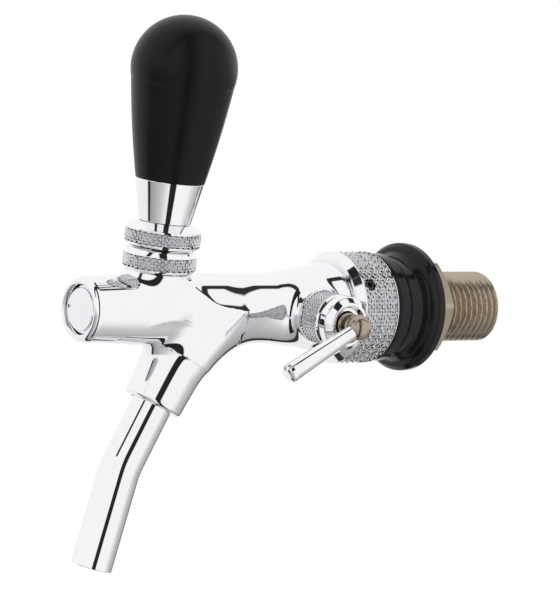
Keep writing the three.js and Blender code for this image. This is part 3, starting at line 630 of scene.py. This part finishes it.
def body_field(points):
    """Signed distance to the tap body's surface, near enough for stepping onto it.

    Barrel, leg, boss and side boss are turned solids joined by smooth minima; the sweep behind
    the leg is wide and the one before it tight. The bores are taken out with a maximum.
    """
    y = points[:, 1]
    barrel = round_field(points, BARREL_AXIS, barrel_radius, BARREL_FRONT_Y, BARREL_REAR_Y, 2.4)
    leg = round_field(points, LEG_AXIS, leg_radius, 0, LEG_LENGTH, 1.2)
    behind = y - (LEG_ROOT[1] + points[:, 2] * math.tan(LEG_ANGLE))
    rear = np.clip((behind + 6) / 12, 0, 1)
    outside = smooth_min(barrel, leg, 5.0 + 9.0 * rear**2 * (3 - 2 * rear))
    boss = round_field(points, BOSS_AXIS, BOSS_RADIUS, 0, BOSS_SHOULDER_Z, 0.5)
    outside = smooth_min(outside, boss, 4.5)
    side = round_field(points, FLOW_AXIS, FLOW_BOSS_RADIUS, 0, FLOW_BOSS_REACH, 0.5)
    outside = smooth_min(outside, side, 4.0)
    spigot = round_field(points, BARREL_AXIS, 13.0, -40.0, BODY_HIGH[1], 0)
    neck = round_field(points, BOSS_AXIS, 9.0, 0, BOSS_SHOULDER_Z + 4.6, 0)
    side_neck = round_field(points, FLOW_AXIS, 6.4, 0, FLOW_BOSS_REACH + 6, 0)
    outside = np.minimum.reduce([outside, spigot, neck, side_neck])
    socket_from = LEG_LENGTH - LEG_SOCKET_DEPTH
    bores = np.minimum.reduce([
        round_field(points, BARREL_AXIS, BORE_RADIUS, -140, -78, 0),
        round_field(points, BARREL_AXIS, 5.0, -79, -74, 0),
        round_field(points, BARREL_AXIS, 8.5, -75, -10, 0),
        round_field(points, BOSS_AXIS, 7.0, 9.1, 30, 0),
        round_field(points, BOSS_AXIS, 4.2, 0, 10, 0),
        round_field(points, LEG_AXIS, SPOUT_RADIUS + 0.3, socket_from, 40, 0),
        round_field(points, LEG_AXIS, 4.2, 2, socket_from + 1, 0),
        round_field(points, FLOW_AXIS, 4.1, 2, 30, 0),
    ])
    return smooth_max(outside, -bores, 0.9)


def field_slope(points, step=0.02):
    """Gradient of the field by central differences."""
    slopes = []
    for direction in (X, Y, Z):
        ahead, back = body_field(points + step * direction), body_field(points - step * direction)
        slopes.append((ahead - back) / (2 * step))
    return np.stack(slopes, -1)


BODY_VOXEL = 0.62


def tap_body():
    """The body's surface: the CAD solid remeshed evenly, then stepped onto the blended field."""
    source = frame["nodes"]["faucet_body"]
    rough = bpy.data.objects.new("rough_body", source.data.copy())
    bpy.context.collection.objects.link(rough)
    loose = bmesh.new()
    loose.from_mesh(rough.data)
    bmesh.ops.remove_doubles(loose, verts=loose.verts, dist=1e-6)
    loose.to_mesh(rough.data)
    loose.free()
    remesh = rough.modifiers.new("even", "REMESH")
    remesh.mode = "VOXEL"
    remesh.voxel_size = BODY_VOXEL * MM
    evened = rough.evaluated_get(bpy.context.evaluated_depsgraph_get())
    mesh = bpy.data.meshes.new_from_object(evened)
    bpy.data.objects.remove(rough)
    flat = np.empty(3 * len(mesh.vertices))
    mesh.vertices.foreach_get("co", flat)
    points = flat.reshape(-1, 3) / MM
    for _ in range(8):
        slope = field_slope(points)
        steepness = np.maximum((slope**2).sum(-1, keepdims=True), 0.1)
        move = body_field(points)[:, None] * slope / steepness
        size = np.linalg.norm(move, axis=1, keepdims=True)
        points = points - move * np.minimum(1, 1.0 / np.maximum(size, 1e-9))
    mesh.vertices.foreach_set("co", (points * MM).ravel())
    slope = field_slope(points, 0.05)
    slope /= np.maximum(np.linalg.norm(slope, axis=1, keepdims=True), 1e-9)
    mesh.materials.clear()
    mesh.materials.append(MATERIALS["chrome"])
    mesh.shade_smooth()
    mesh.update()
    mesh.normals_split_custom_set_from_vertices(slope.tolist())
    shown("tap_body", mesh, "tap", ("faucet_body",))


tap_body()


SLOT_DEPTH = 0.9
SLOT_HALF_WIDTH = 0.55


def slotted_plug():
    """The guide plug: a turned plug with a square-bottomed screwdriver slot cut in its face."""
    face_radius, radius = 6.6, (PLUG_HIGH[0] - PLUG_LOW[0]) / 2
    front, rear = PLUG_LOW[1], PLUG_HIGH[1]
    made = turned("slotted_plug", [
        (2.9, rear, 0), (radius, rear, 0.2), (radius, front + 1.2, 0.1),
        (face_radius, front + 1.2, 0.1), (face_radius, front, 0.35), (0, front, 0),
    ], BARREL_AXIS, "tap", "front_plug", segments=96)
    box, cut = bmesh.new(), bpy.data.meshes.new("slot")
    size = (2 * radius * MM, 2 * SLOT_DEPTH * MM, 2 * SLOT_HALF_WIDTH * MM, 1)
    place = Matrix.Translation((0, front * MM, 0)) @ Matrix.Diagonal(size)
    bmesh.ops.create_cube(box, size=1, matrix=place)
    box.to_mesh(cut)
    box.free()
    cutter = bpy.data.objects.new("slot_cutter", cut)
    bpy.context.collection.objects.link(cutter)
    modifier = made.modifiers.new("slot", "BOOLEAN")
    modifier.operation = "DIFFERENCE"
    modifier.object = cutter
    modifier.solver = "EXACT"
    evaluated = made.evaluated_get(bpy.context.evaluated_depsgraph_get())
    mesh = bpy.data.meshes.new_from_object(evaluated)
    made.modifiers.clear()
    made.data = mesh
    mesh.set_sharp_from_angle(angle=SHARP_ANGLE)
    bpy.data.objects.remove(cutter)


slotted_plug()


# ------------------------------------------------------------------ spout


def spout():
    """The bent tube: outside down, round the square-cut end's small rim, and back up inside."""
    path = SpoutPath()
    top = LEG_LENGTH - LEG_SOCKET_DEPTH + 0.3
    inner = SPOUT_RADIUS - SPOUT_WALL
    rim = rounded([
        (SPOUT_RADIUS, path.end - 2, 0), (SPOUT_RADIUS, path.end, 0.25),
        (inner, path.end, 0.25), (inner, path.end - 2, 0),
    ])
    down = np.linspace(top, path.end - 2, 60)
    outside = np.stack([np.full(60, SPOUT_RADIUS), down], 1)
    inside = np.stack([np.full(60, inner), down[::-1]], 1)
    profile = np.concatenate([outside, rim[1:-1], inside, outside[:1]])
    piece("spout", [carried(profile, path, 96)], "tap", ("spout_tube",), ("chrome",))


spout()


# ------------------------------------------------------------------ collars, ferrule and grip


def knurled_band(name, before, radius, low, high, after, path, body, node, pattern, segments):
    """A collar: filleted corners before and after a knurled band, closed through its hole."""
    first = rounded(before + [(radius, low + 0.3, 0)])
    last = rounded([(radius, high - 0.3, 0)] + after)
    middle = band(radius, low + 0.3, high - 0.3, pattern["step"])
    relief = knurl(low, high, pattern["count"], pattern["lead"], pattern["depth"])
    inner = carried(np.concatenate([last, first[1:]]), path, segments)
    knurls = carried(middle, path, segments, relief)
    piece(name, [inner, knurls], body, (node,), ("chrome", "knurl"))


BONNET_ROUND = math.hypot(11.35, BONNET_LOW[2] + BONNET_BAND - PIVOT_Z)


def bonnet():
    """The lower collar: a knurled band under a polished dome that is part of a ball."""
    low, top = BONNET_LOW[2], BONNET_HIGH[2]
    radius = 11.35
    shoulder = low + BONNET_BAND
    start = math.degrees(math.asin((shoulder - PIVOT_Z) / BONNET_ROUND))
    end = math.degrees(math.asin((top - 0.35 - PIVOT_Z) / BONNET_ROUND))
    dome = [(r, s, 0) for r, s in arc(0, PIVOT_Z, BONNET_ROUND, start, end, 10)]
    inner, ceiling = 9.3, low + 4.6
    after = dome + [(9.4, top, 0.2), (6.7, top, 0.3), (5.3, ceiling, 0), (inner, ceiling, 0),
                    (inner, low, 0.15), (inner + 0.3, low, 0)]
    before = [(inner + 0.3, low, 0), (radius - 0.45, low, 0.1), (radius, low + 0.45, 0.1)]
    pattern = {"step": 0.22, "count": 34, "lead": 62.0, "depth": 0.75}
    knurled_band("bonnet_knurl", before, radius, low + 0.5, shoulder + 0.2, after, BOSS_AXIS,
                 "tap", "bonnet_collar", pattern, 448)


LOCKNUT_BOTTOM = BONNET_HIGH[2] + 0.4
LOCKNUT_TOP = LOCKNUT_BOTTOM + LOCKNUT_BAND + LOCKNUT_BEVEL


def lock_collar():
    """The upper collar: a knurled band, a bevel to the ferrule and a hollow underside."""
    shoulder = LOCKNUT_BOTTOM + LOCKNUT_BAND
    hollow = BONNET_ROUND + 0.4
    start = math.degrees(math.asin((LOCKNUT_BOTTOM - PIVOT_Z) / hollow))
    bowl = [(r, s, 0) for r, s in arc(0, PIVOT_Z, hollow, 75, start, 12)]
    after = [(LOCKNUT_RADIUS, shoulder, 0.25), (FERRULE_BOTTOM_RADIUS + 0.3, LOCKNUT_TOP, 0.2),
             (STUD_HOLE, LOCKNUT_TOP, 0), (STUD_HOLE, PIVOT_Z + hollow, 0)]
    before = [(STUD_HOLE, PIVOT_Z + hollow, 0)] + bowl
    before += [(LOCKNUT_RADIUS - 0.45, LOCKNUT_BOTTOM, 0.1),
               (LOCKNUT_RADIUS, LOCKNUT_BOTTOM + 0.45, 0.1)]
    pattern = {"step": 0.22, "count": 35, "lead": 64.0, "depth": 0.75}
    knurled_band("lock_knurl", before, LOCKNUT_RADIUS, LOCKNUT_BOTTOM + 0.5, shoulder - 0.25,
                 after, HANDLE_AXIS, "handle", "lock_collar", pattern, 464)


FERRULE_BOTTOM = LOCKNUT_TOP + 0.1
FERRULE_TOP = LOCKNUT_TOP + 0.3 + FERRULE_HEIGHT
GRIP_BOTTOM = FERRULE_TOP + 0.05


def ferrule():
    """The plain cone under the grip."""
    spigot_top = FERRULE_TOP + 12
    turned("ferrule_cone", [
        (STUD_HOLE, FERRULE_BOTTOM, 0), (FERRULE_BOTTOM_RADIUS, FERRULE_BOTTOM, 0.25),
        (FERRULE_TOP_RADIUS, FERRULE_TOP, 0.2), (SPIGOT_RADIUS, FERRULE_TOP, 0),
        (SPIGOT_RADIUS, spigot_top, 0.5), (0, spigot_top, 0), (0, FERRULE_TOP - 1.7, 0),
        (STUD_HOLE, FERRULE_TOP - 1.7, 0), (STUD_HOLE, FERRULE_BOTTOM, 0),
    ], HANDLE_AXIS, "handle", "handle_ferrule", segments=160)


def grip():
    """The grip: a cone that bellies out by a sine, a shallow mould line, and a ball-shaped top."""
    top = FERRULE_TOP + 0.28 + GRIP_HEIGHT
    bulb = top - GRIP_BULB_RADIUS
    join = -14.0
    join_radius, join_height = arc(0, bulb, GRIP_BULB_RADIUS, join, join, 1)[0]
    share = np.linspace(0, 1, 60)[1:]
    height = GRIP_BOTTOM + (join_height - GRIP_BOTTOM) * share
    cone = FERRULE_TOP_RADIUS + (join_radius - FERRULE_TOP_RADIUS) * share
    cone = cone + 0.35 * np.sin(np.pi * share)
    side = np.stack([cone, height], 1)
    crown = arc(0, bulb, GRIP_BULB_RADIUS, join, 90, 60)
    outline = np.concatenate([side, crown[1:]])
    line = join_height - 0.4
    groove = 0.07 * np.exp(-(((outline[:, 1] - line) / 0.22) ** 2))
    near = np.linspace(line - 0.9, line + 0.9, 17)
    fill = np.interp(near, outline[:-1, 1], outline[:-1, 0])
    fill = fill - 0.07 * np.exp(-(((near - line) / 0.22) ** 2))
    keep = np.abs(outline[:, 1] - line) > 0.95
    below = outline[keep & (outline[:, 1] < line)]
    above = outline[keep & (outline[:, 1] > line)]
    outline = np.concatenate([below, np.stack([fill, near], 1), above])
    foot = rounded([
        (SPIGOT_RADIUS + 0.3, GRIP_BOTTOM, 0), (FERRULE_TOP_RADIUS, GRIP_BOTTOM, 0.25),
        tuple(outline[0]) + (0,),
    ])
    roof = FERRULE_TOP + 12.3
    hole = [(0, roof), (SPIGOT_RADIUS + 0.3, roof), (SPIGOT_RADIUS + 0.3, GRIP_BOTTOM)]
    profile = np.concatenate([foot[:-1], outline, np.array(hole)])
    piece("grip", [carried(profile, HANDLE_AXIS, 192)], "handle",
          ("handle_grip",), ("black_grip",))


bonnet()
lock_collar()
ferrule()
grip()


# ------------------------------------------------------------------ flow control


def flow_ring():
    """The finely knurled ring that holds the flow control's gland."""
    low, high, radius = RING_LOW[0], RING_HIGH[0], FLOW_RING_RADIUS
    inner, hole = 6.7, 4.1
    before = [(inner, low, 0.1), (radius - 0.5, low, 0.1), (radius, low + 0.5, 0.1)]
    before.insert(0, (inner, low + 0.4, 0))
    after = [(radius, high - 0.4, 0.1), (radius - 0.5, high, 0.1), (hole, high, 0.1),
             (hole, high - 2.7, 0), (inner, high - 2.7, 0), (inner, low + 0.4, 0)]
    pattern = {"step": 0.2, "count": 44, "lead": 52.0, "depth": 0.6}
    knurled_band("flow_knurl", before, radius, low + 0.6, high - 0.5, after, FLOW_AXIS, "tap",
                 "flow_ring", pattern, 480)


def flow_cap():
    """The polished cap: a rounded rim round a recess, with a hub behind it."""
    low, high = CAP_LOW[0], CAP_HIGH[0]
    back = low + 0.9
    radius, hub, hole = FLOW_CAP_RADIUS, 6.0, 4.1
    turned("flow_cap_rim", [
        (hole, low, 0), (hub, low, 0.1), (hub, back, 0.1), (radius - 0.1, back, 0.4),
        (radius, high - 2.0, 1.2), (radius - 1.9, high, 0.9), (5.9, high - 0.15, 0.35),
        (5.2, high - 2.0, 0.3), (hole, high - 2.0, 0.1), (hole, low, 0),
    ], FLOW_AXIS, "tap", "flow_cap", segments=160)


def flow_stem():
    """The nickel stem that runs out to a ball, with its eccentric pin at the inner end."""
    inner = 9.0
    neck = math.sqrt(FLOW_BALL_RADIUS**2 - (FLOW_STEM_RADIUS - 0.25) ** 2)
    start = math.degrees(math.atan2(-neck, FLOW_STEM_RADIUS - 0.25))
    ball = [(r, s, 0) for r, s in arc(0, FLOW_BALL_X, FLOW_BALL_RADIUS, start, 90, 40)]
    shoulder = FLOW_BALL_X - neck
    stem = carried(rounded([
        (0, inner, 0), (FLOW_STEM_RADIUS, inner, 0.3), (FLOW_STEM_RADIUS, shoulder - 0.25, 0.2),
    ] + ball), FLOW_AXIS, 128)
    pin_axis = Axis((0, FLOW_Y, 2.0), X, Z)
    pin = carried(rounded([
        (0, STEM_LOW[0], 0), (1.2, STEM_LOW[0], 0.2), (1.2, inner + 0.2, 0), (0, inner + 0.2, 0),
    ]), pin_axis, 32)
    piece("stem_ball", [stem, pin], "flow_lever", ("flow_stem",), ("nickel",))


def flow_lever():
    """The polished lever: a slim cone that grows to a flat-ended, rounded tip."""
    tip = FLOW_LEVER_LENGTH
    turned("side_lever", [
        (0, 2.2, 0), (2.3, 2.2, 0), (2.35, 6, 1), (3.0, tip - 3.2, 2.0), (3.1, tip - 1.9, 0.8),
        (2.8, tip - 0.5, 0.7), (1.7, tip, 0.7), (0, tip, 0),
    ], LEVER_AXIS, "flow_lever", "flow_lever", segments=96)


flow_ring()
flow_cap()
flow_stem()
flow_lever()


# ------------------------------------------------------------------ coupling, flange, nut, shank


def coupling():
    """The big knurled collar behind a plain chamfer, with a bored hole for its set screw."""
    low, high = COLLAR_LOW[1], COLLAR_HIGH[1]
    radius, front = 17.9, 15.6
    inner, lip = 13.3, SHANK_RADIUS + 0.3
    before = [(inner, low + 0.4, 0), (inner, low, 0.1), (front, low, 0.2), (radius, low + 1.8, 0.2)]
    after = [(radius, high - 0.5, 0.1), (radius - 0.5, high, 0.1), (lip, high, 0.1),
             (lip, high - 2, 0), (inner, high - 2, 0), (inner, low + 0.4, 0)]
    hole = SCREW_AXIS
    pattern = knurl(low + 2.2, high - 0.6, 48, 108.0, 0.8)

    def relief(reach, distance, angle):
        """The knurl, with a shallow countersink round the screw's hole."""
        cut = pattern(reach, distance, angle)
        across = radius * (np.mod(angle - SCREW_ANGLE + np.pi, 2 * np.pi) - np.pi)
        away = np.hypot(across, distance - hole.origin[1])
        well = np.clip((2.1 - away) / 0.25, 0, 1)
        return cut * (1 - well) + np.minimum(cut, radius - 2.6) * well

    first = rounded(before + [(radius, low + 2.3, 0)])
    last = rounded([(radius, high - 0.8, 0)] + after)
    plain = carried(np.concatenate([last, first[1:]]), BARREL_AXIS, 608)
    knurls = carried(band(radius, low + 2.3, high - 0.8, 0.24), BARREL_AXIS, 608, relief)
    piece("coupling_knurl", [plain, knurls], "tap", ("coupling_collar",),
          ("chrome", "knurl"))


def grub_screw():
    """The socket screw: a turned body whose socket has six flat sides."""
    inner, outer = 13.3, 17.3
    depth, across = 1.6, 0.95

    def hexagon(reach, distance, angle):
        """Radius of a hexagon where the profile is inside the socket."""
        turned_to = np.mod(angle, np.pi / 3) - np.pi / 6
        six = across / np.cos(turned_to)
        return np.where(reach == across, six, reach)

    profile = np.array([
        (0, inner), (1.6, inner), (1.6, outer - 0.25), (1.35, outer), (across, outer),
        (across, outer - depth), (0, outer - depth),
    ])
    body = carried(profile, SCREW_AXIS, 72, hexagon)
    piece("grub_screw", [body], "tap", ("set_screw",), ("dark_steel",))


def flange():
    """The stepped gloss flange: a rounded hub, a groove, and a wide rim with rolled edges."""
    front, rear = FLANGE_LOW[1], FLANGE_HIGH[1]
    rim, hub, hole = (FLANGE_HIGH[0] - FLANGE_LOW[0]) / 2, 17.4, SHANK_RADIUS + 0.3
    turned("black_flange", [
        (hole, rear, 0), (rim - 1.0, rear, 0.3), (rim, rear - 1.0, 0.8), (rim, rear - 3.3, 1.2),
        (rim - 1.3, rear - 4.6, 0.8), (hub + 0.4, rear - 5.2, 1.2), (hub - 0.9, rear - 7.2, 1.5),
        (hub - 0.9, front + 6.2, 1.0), (hub, front + 4.6, 0.9), (hub, front + 1.0, 0.9),
        (hub - 1.0, front, 0.7), (hole, front, 0), (hole, rear, 0),
    ], BARREL_AXIS, "tap", "flange", "black_gloss", 192)


def nut():
    """The shank nut: a hexagon met by the cone of its chamfer.

    At each distance the radius is the lower of the hexagon's, the flat's half width over the
    cosine of the angle from the nearest flat's middle, and the chamfer cone's.
    """
    low, high = NUT_LOW[1], NUT_HIGH[1]
    hole = SHANK_RADIUS + 0.15
    corner = NUT_FLATS_RADIUS / math.cos(math.pi / 6)
    slope = 0.55

    def hexagon(reach, distance, angle):
        beside = np.mod(angle + NUT_TURN - np.pi / 6, np.pi / 3)
        six = NUT_FLATS_RADIUS / np.cos(beside - np.pi / 6)
        six = smooth_min(six, np.full_like(six, corner), 0.6) - 0.05
        rear = NUT_FLATS_RADIUS + (high - distance) / slope
        front = NUT_FLATS_RADIUS + 1.2 + (distance - low) / slope
        outer = np.minimum(np.minimum(six, rear), front)
        return np.where(reach > hole + 1.5, np.minimum(reach, outer), reach)

    wall = band(corner, low, high, 0.12)
    face = np.linspace(hole + 0.6, corner, 14)
    front_face = np.stack([face, np.full(14, low)], 1)
    rear_face = np.stack([face[::-1], np.full(14, high)], 1)
    bore = rounded([
        (hole + 0.6, high, 0), (hole, high - 0.6, 0.1),
        (hole, low + 0.6, 0.1), (hole + 0.6, low, 0),
    ])
    profile = np.concatenate([front_face, wall[1:-1], rear_face, bore[1:-1], front_face[:1]])
    piece("hex_nut", [carried(profile, BARREL_AXIS, 288, hexagon)], "tap",
          ("shank_nut",), ("nickel",))


def shank():
    """The threaded shank with its head, conical mouth and chamfered end."""
    front, end = SHANK_LOW[1], SHANK_HIGH[1]
    head, head_rear, bore = 12.7, SHANK_LOW[1] + 2.4, 5.0
    thread_from = -1.0
    start = rounded([
        (8.0, front, 0), (head, front, 0.2), (head, head_rear, 0.1), (SHANK_RADIUS, head_rear, 0.1),
        (SHANK_RADIUS, thread_from, 0),
    ])
    screw = band(SHANK_RADIUS, thread_from, end - 1.0, 0.14)
    stop = rounded([
        (SHANK_RADIUS, end - 1.0, 0), (SHANK_RADIUS - 0.9, end, 0.1), (bore, end, 0.25),
        (bore, front + 12, 0), (8.0, front, 0),
    ])
    profile = np.concatenate([start[:-1], screw, stop[1:]])
    cut = thread(thread_from, end + 0.6, THREAD_PITCH, THREAD_DEPTH)
    piece("shank_thread", [carried(profile, BARREL_AXIS, 144, cut)], "tap",
          ("threaded_shank",), ("nickel",))


coupling()
grub_screw()
flange()
nut()
shank()


# ------------------------------------------------------------------ carried-over CAD nodes

HIDDEN_FINISHES = {
    "ball_lever": "steel",
    "plunger": "steel",
    "valve_nut": "steel",
    "ball_seat_lower": "nylon",
    "ball_seat_upper": "nylon",
    "compensator": "nylon",
    "plunger_ring": "seal_rubber",
    "valve_washer": "seal_rubber",
    "spout_ring": "seal_rubber",
    "flow_stem_ring": "seal_rubber",
    "coupling_gasket": "seal_rubber",
}
for node, finish in HIDDEN_FINISHES.items():
    for slot in frame["nodes"][node].material_slots:
        slot.material = MATERIALS[finish]


# ------------------------------------------------------------------ camera, light and backdrop

CAMERA_AZIMUTH = math.radians(50.55)
CAMERA_ELEVATION = math.radians(8.6)
CAMERA_ROLL = math.radians(6.62)
CAMERA_DISTANCE = 1.0
CAMERA_LENS = 190.1
CAMERA_TARGET = Vector((0.0, -0.05286, 0.00247))


def camera():
    """A long lens that looks from the front right, a little above, turned a few degrees."""
    level = math.cos(CAMERA_ELEVATION)
    back = Vector((
        math.sin(CAMERA_AZIMUTH) * level,
        -math.cos(CAMERA_AZIMUTH) * level,
        math.sin(CAMERA_ELEVATION),
    ))
    right = Vector((0, 0, 1)).cross(back).normalized()
    up = back.cross(right)
    turned_right = right * math.cos(CAMERA_ROLL) + up * math.sin(CAMERA_ROLL)
    turned_up = up * math.cos(CAMERA_ROLL) - right * math.sin(CAMERA_ROLL)
    data = bpy.data.cameras.new("camera")
    data.lens = CAMERA_LENS
    data.clip_start, data.clip_end = 0.01, 20
    made = bpy.data.objects.new("camera", data)
    place = Matrix((turned_right, turned_up, back)).transposed().to_4x4()
    place.translation = CAMERA_TARGET + back * CAMERA_DISTANCE
    made.matrix_world = place
    bpy.context.collection.objects.link(made)
    bpy.context.scene.camera = made


STRIP_BESIDE_CAMERA = math.radians(16)
CARD_FLOOR = 0.45
BELOW = [
    (0.00, 0.95), (0.27, 0.9), (0.29, 0.03), (0.355, 0.03),
    (0.375, 0.36), (0.52, 0.45), (0.72, 0.62), (0.88, 1.0),
]
CARD = [(0.00, 1.0), (0.50, 1.0), (0.51, 0.03), (0.59, 0.03), (0.605, 1.0), (1.00, 1.0)]
HORIZON = [(0.0, 0.0), (0.40, 0.0), (0.50, 1.0)]
STRIP = [(0.0, 0.0), (0.405, 0.0), (0.42, 1.0), (0.58, 1.0), (0.595, 0.0), (1.0, 0.0)]


def world():
    """A white surround for the camera, and a studio with dark cards in it for the metal.

    Each part of a direction runs from -1 to 1, and its ramp reads it halved and raised by a half.
    Below the horizon brightness follows x, above it one dark card crosses the white, and an
    upright dark strip stands beside the camera.
    """
    scene_world = bpy.data.worlds.new("studio")
    bpy.context.scene.world = scene_world
    graph = Graph(scene_world)
    direction = graph.add("ShaderNodeTexCoord", output=0)
    strip_turn = math.pi / 2 - CAMERA_AZIMUTH - STRIP_BESIDE_CAMERA
    facing = {"Vector": direction, "Rotation": (0, 0, strip_turn)}
    turned_to = graph.add("ShaderNodeMapping", None, facing)
    ahead = graph.add("ShaderNodeSeparateXYZ", None, [turned_to], output=0)
    across = graph.add("ShaderNodeSeparateXYZ", None, [turned_to], output=1)
    sideways = graph.add("ShaderNodeSeparateXYZ", None, [direction], output=0) * 0.5 + 0.5
    height = graph.add("ShaderNodeSeparateXYZ", None, [direction], output=2)
    overhead = graph.add("ShaderNodeMath", {"operation": "GREATER_THAN"}, [height, CARD_FLOOR])
    above = graph.mix(overhead, grey(1.0), graph.ramp(CARD, sideways))
    rise = graph.ramp(HORIZON, height * 0.5 + 0.5)
    bands = graph.mix(rise, graph.ramp(BELOW, sideways), above)
    front = graph.add("ShaderNodeMath", {"operation": "GREATER_THAN"}, [ahead, 0.0])
    strip = graph.ramp(STRIP, across * 0.5 + 0.5)
    bands = graph.mix(strip * front, bands, grey(0.02))
    studio = graph.add("ShaderNodeBackground", None, {"Color": bands, "Strength": 1.0})
    plain = graph.add("ShaderNodeBackground", None, {"Color": grey(1.0), "Strength": 1.0})
    seen = graph.add("ShaderNodeLightPath", output=0)
    both = graph.add("ShaderNodeMixShader", None, [seen, studio, plain])
    graph.add("ShaderNodeOutputWorld", None, {"Surface": both})


def floor():
    """A pale floor well below the tap, white to the camera where no shadow falls."""
    size, height = 6.0, -0.42
    mesh = bpy.data.meshes.new("floor")
    corners = [(-size, -size, height), (size, -size, height), (size, size, height),
               (-size, size, height)]
    mesh.from_pydata(corners, [], [(0, 1, 2, 3)])
    material = bpy.data.materials.new("pale_floor")
    graph = Graph(material)
    matt = graph.add("ShaderNodeBsdfDiffuse", None, {"Color": grey(0.8)})
    white = graph.add("ShaderNodeEmission", None, {"Color": grey(1.0), "Strength": 1.05})
    seen = graph.add("ShaderNodeLightPath", output=0)
    both = graph.add("ShaderNodeMixShader", None, [seen * 0.9, matt, white])
    graph.add("ShaderNodeOutputMaterial", None, {"Surface": both})
    mesh.materials.append(material)
    made = bpy.data.objects.new("floor", mesh)
    made.visible_glossy = False
    bpy.context.collection.objects.link(made)


def softbox(name, place, aim, size, power):
    """A rectangular lamp that faces a point and doesn't show in reflections."""
    data = bpy.data.lights.new(name, "AREA")
    data.shape, data.size, data.size_y, data.energy = "RECTANGLE", size[0], size[1], power
    made = bpy.data.objects.new(name, data)
    made.visible_glossy = False
    toward = Vector(aim) - Vector(place)
    facing = toward.to_track_quat("-Z", "Y").to_matrix().to_4x4()
    made.matrix_world = Matrix.Translation(place) @ facing
    bpy.context.collection.objects.link(made)


camera()
world()
floor()
softbox("key", (0.1, -0.9, 0.7), (0, -0.06, 0), (0.5, 0.9), 6.0)
softbox("side", (0.95, 0.1, 0.25), (0, -0.06, 0.03), (0.25, 0.9), 4.0)
softbox("rim", (-0.7, 0.2, 0.45), (0, -0.06, 0.03), (0.3, 0.8), 4.0)
bpy.context.scene.view_settings.view_transform = "Standard"
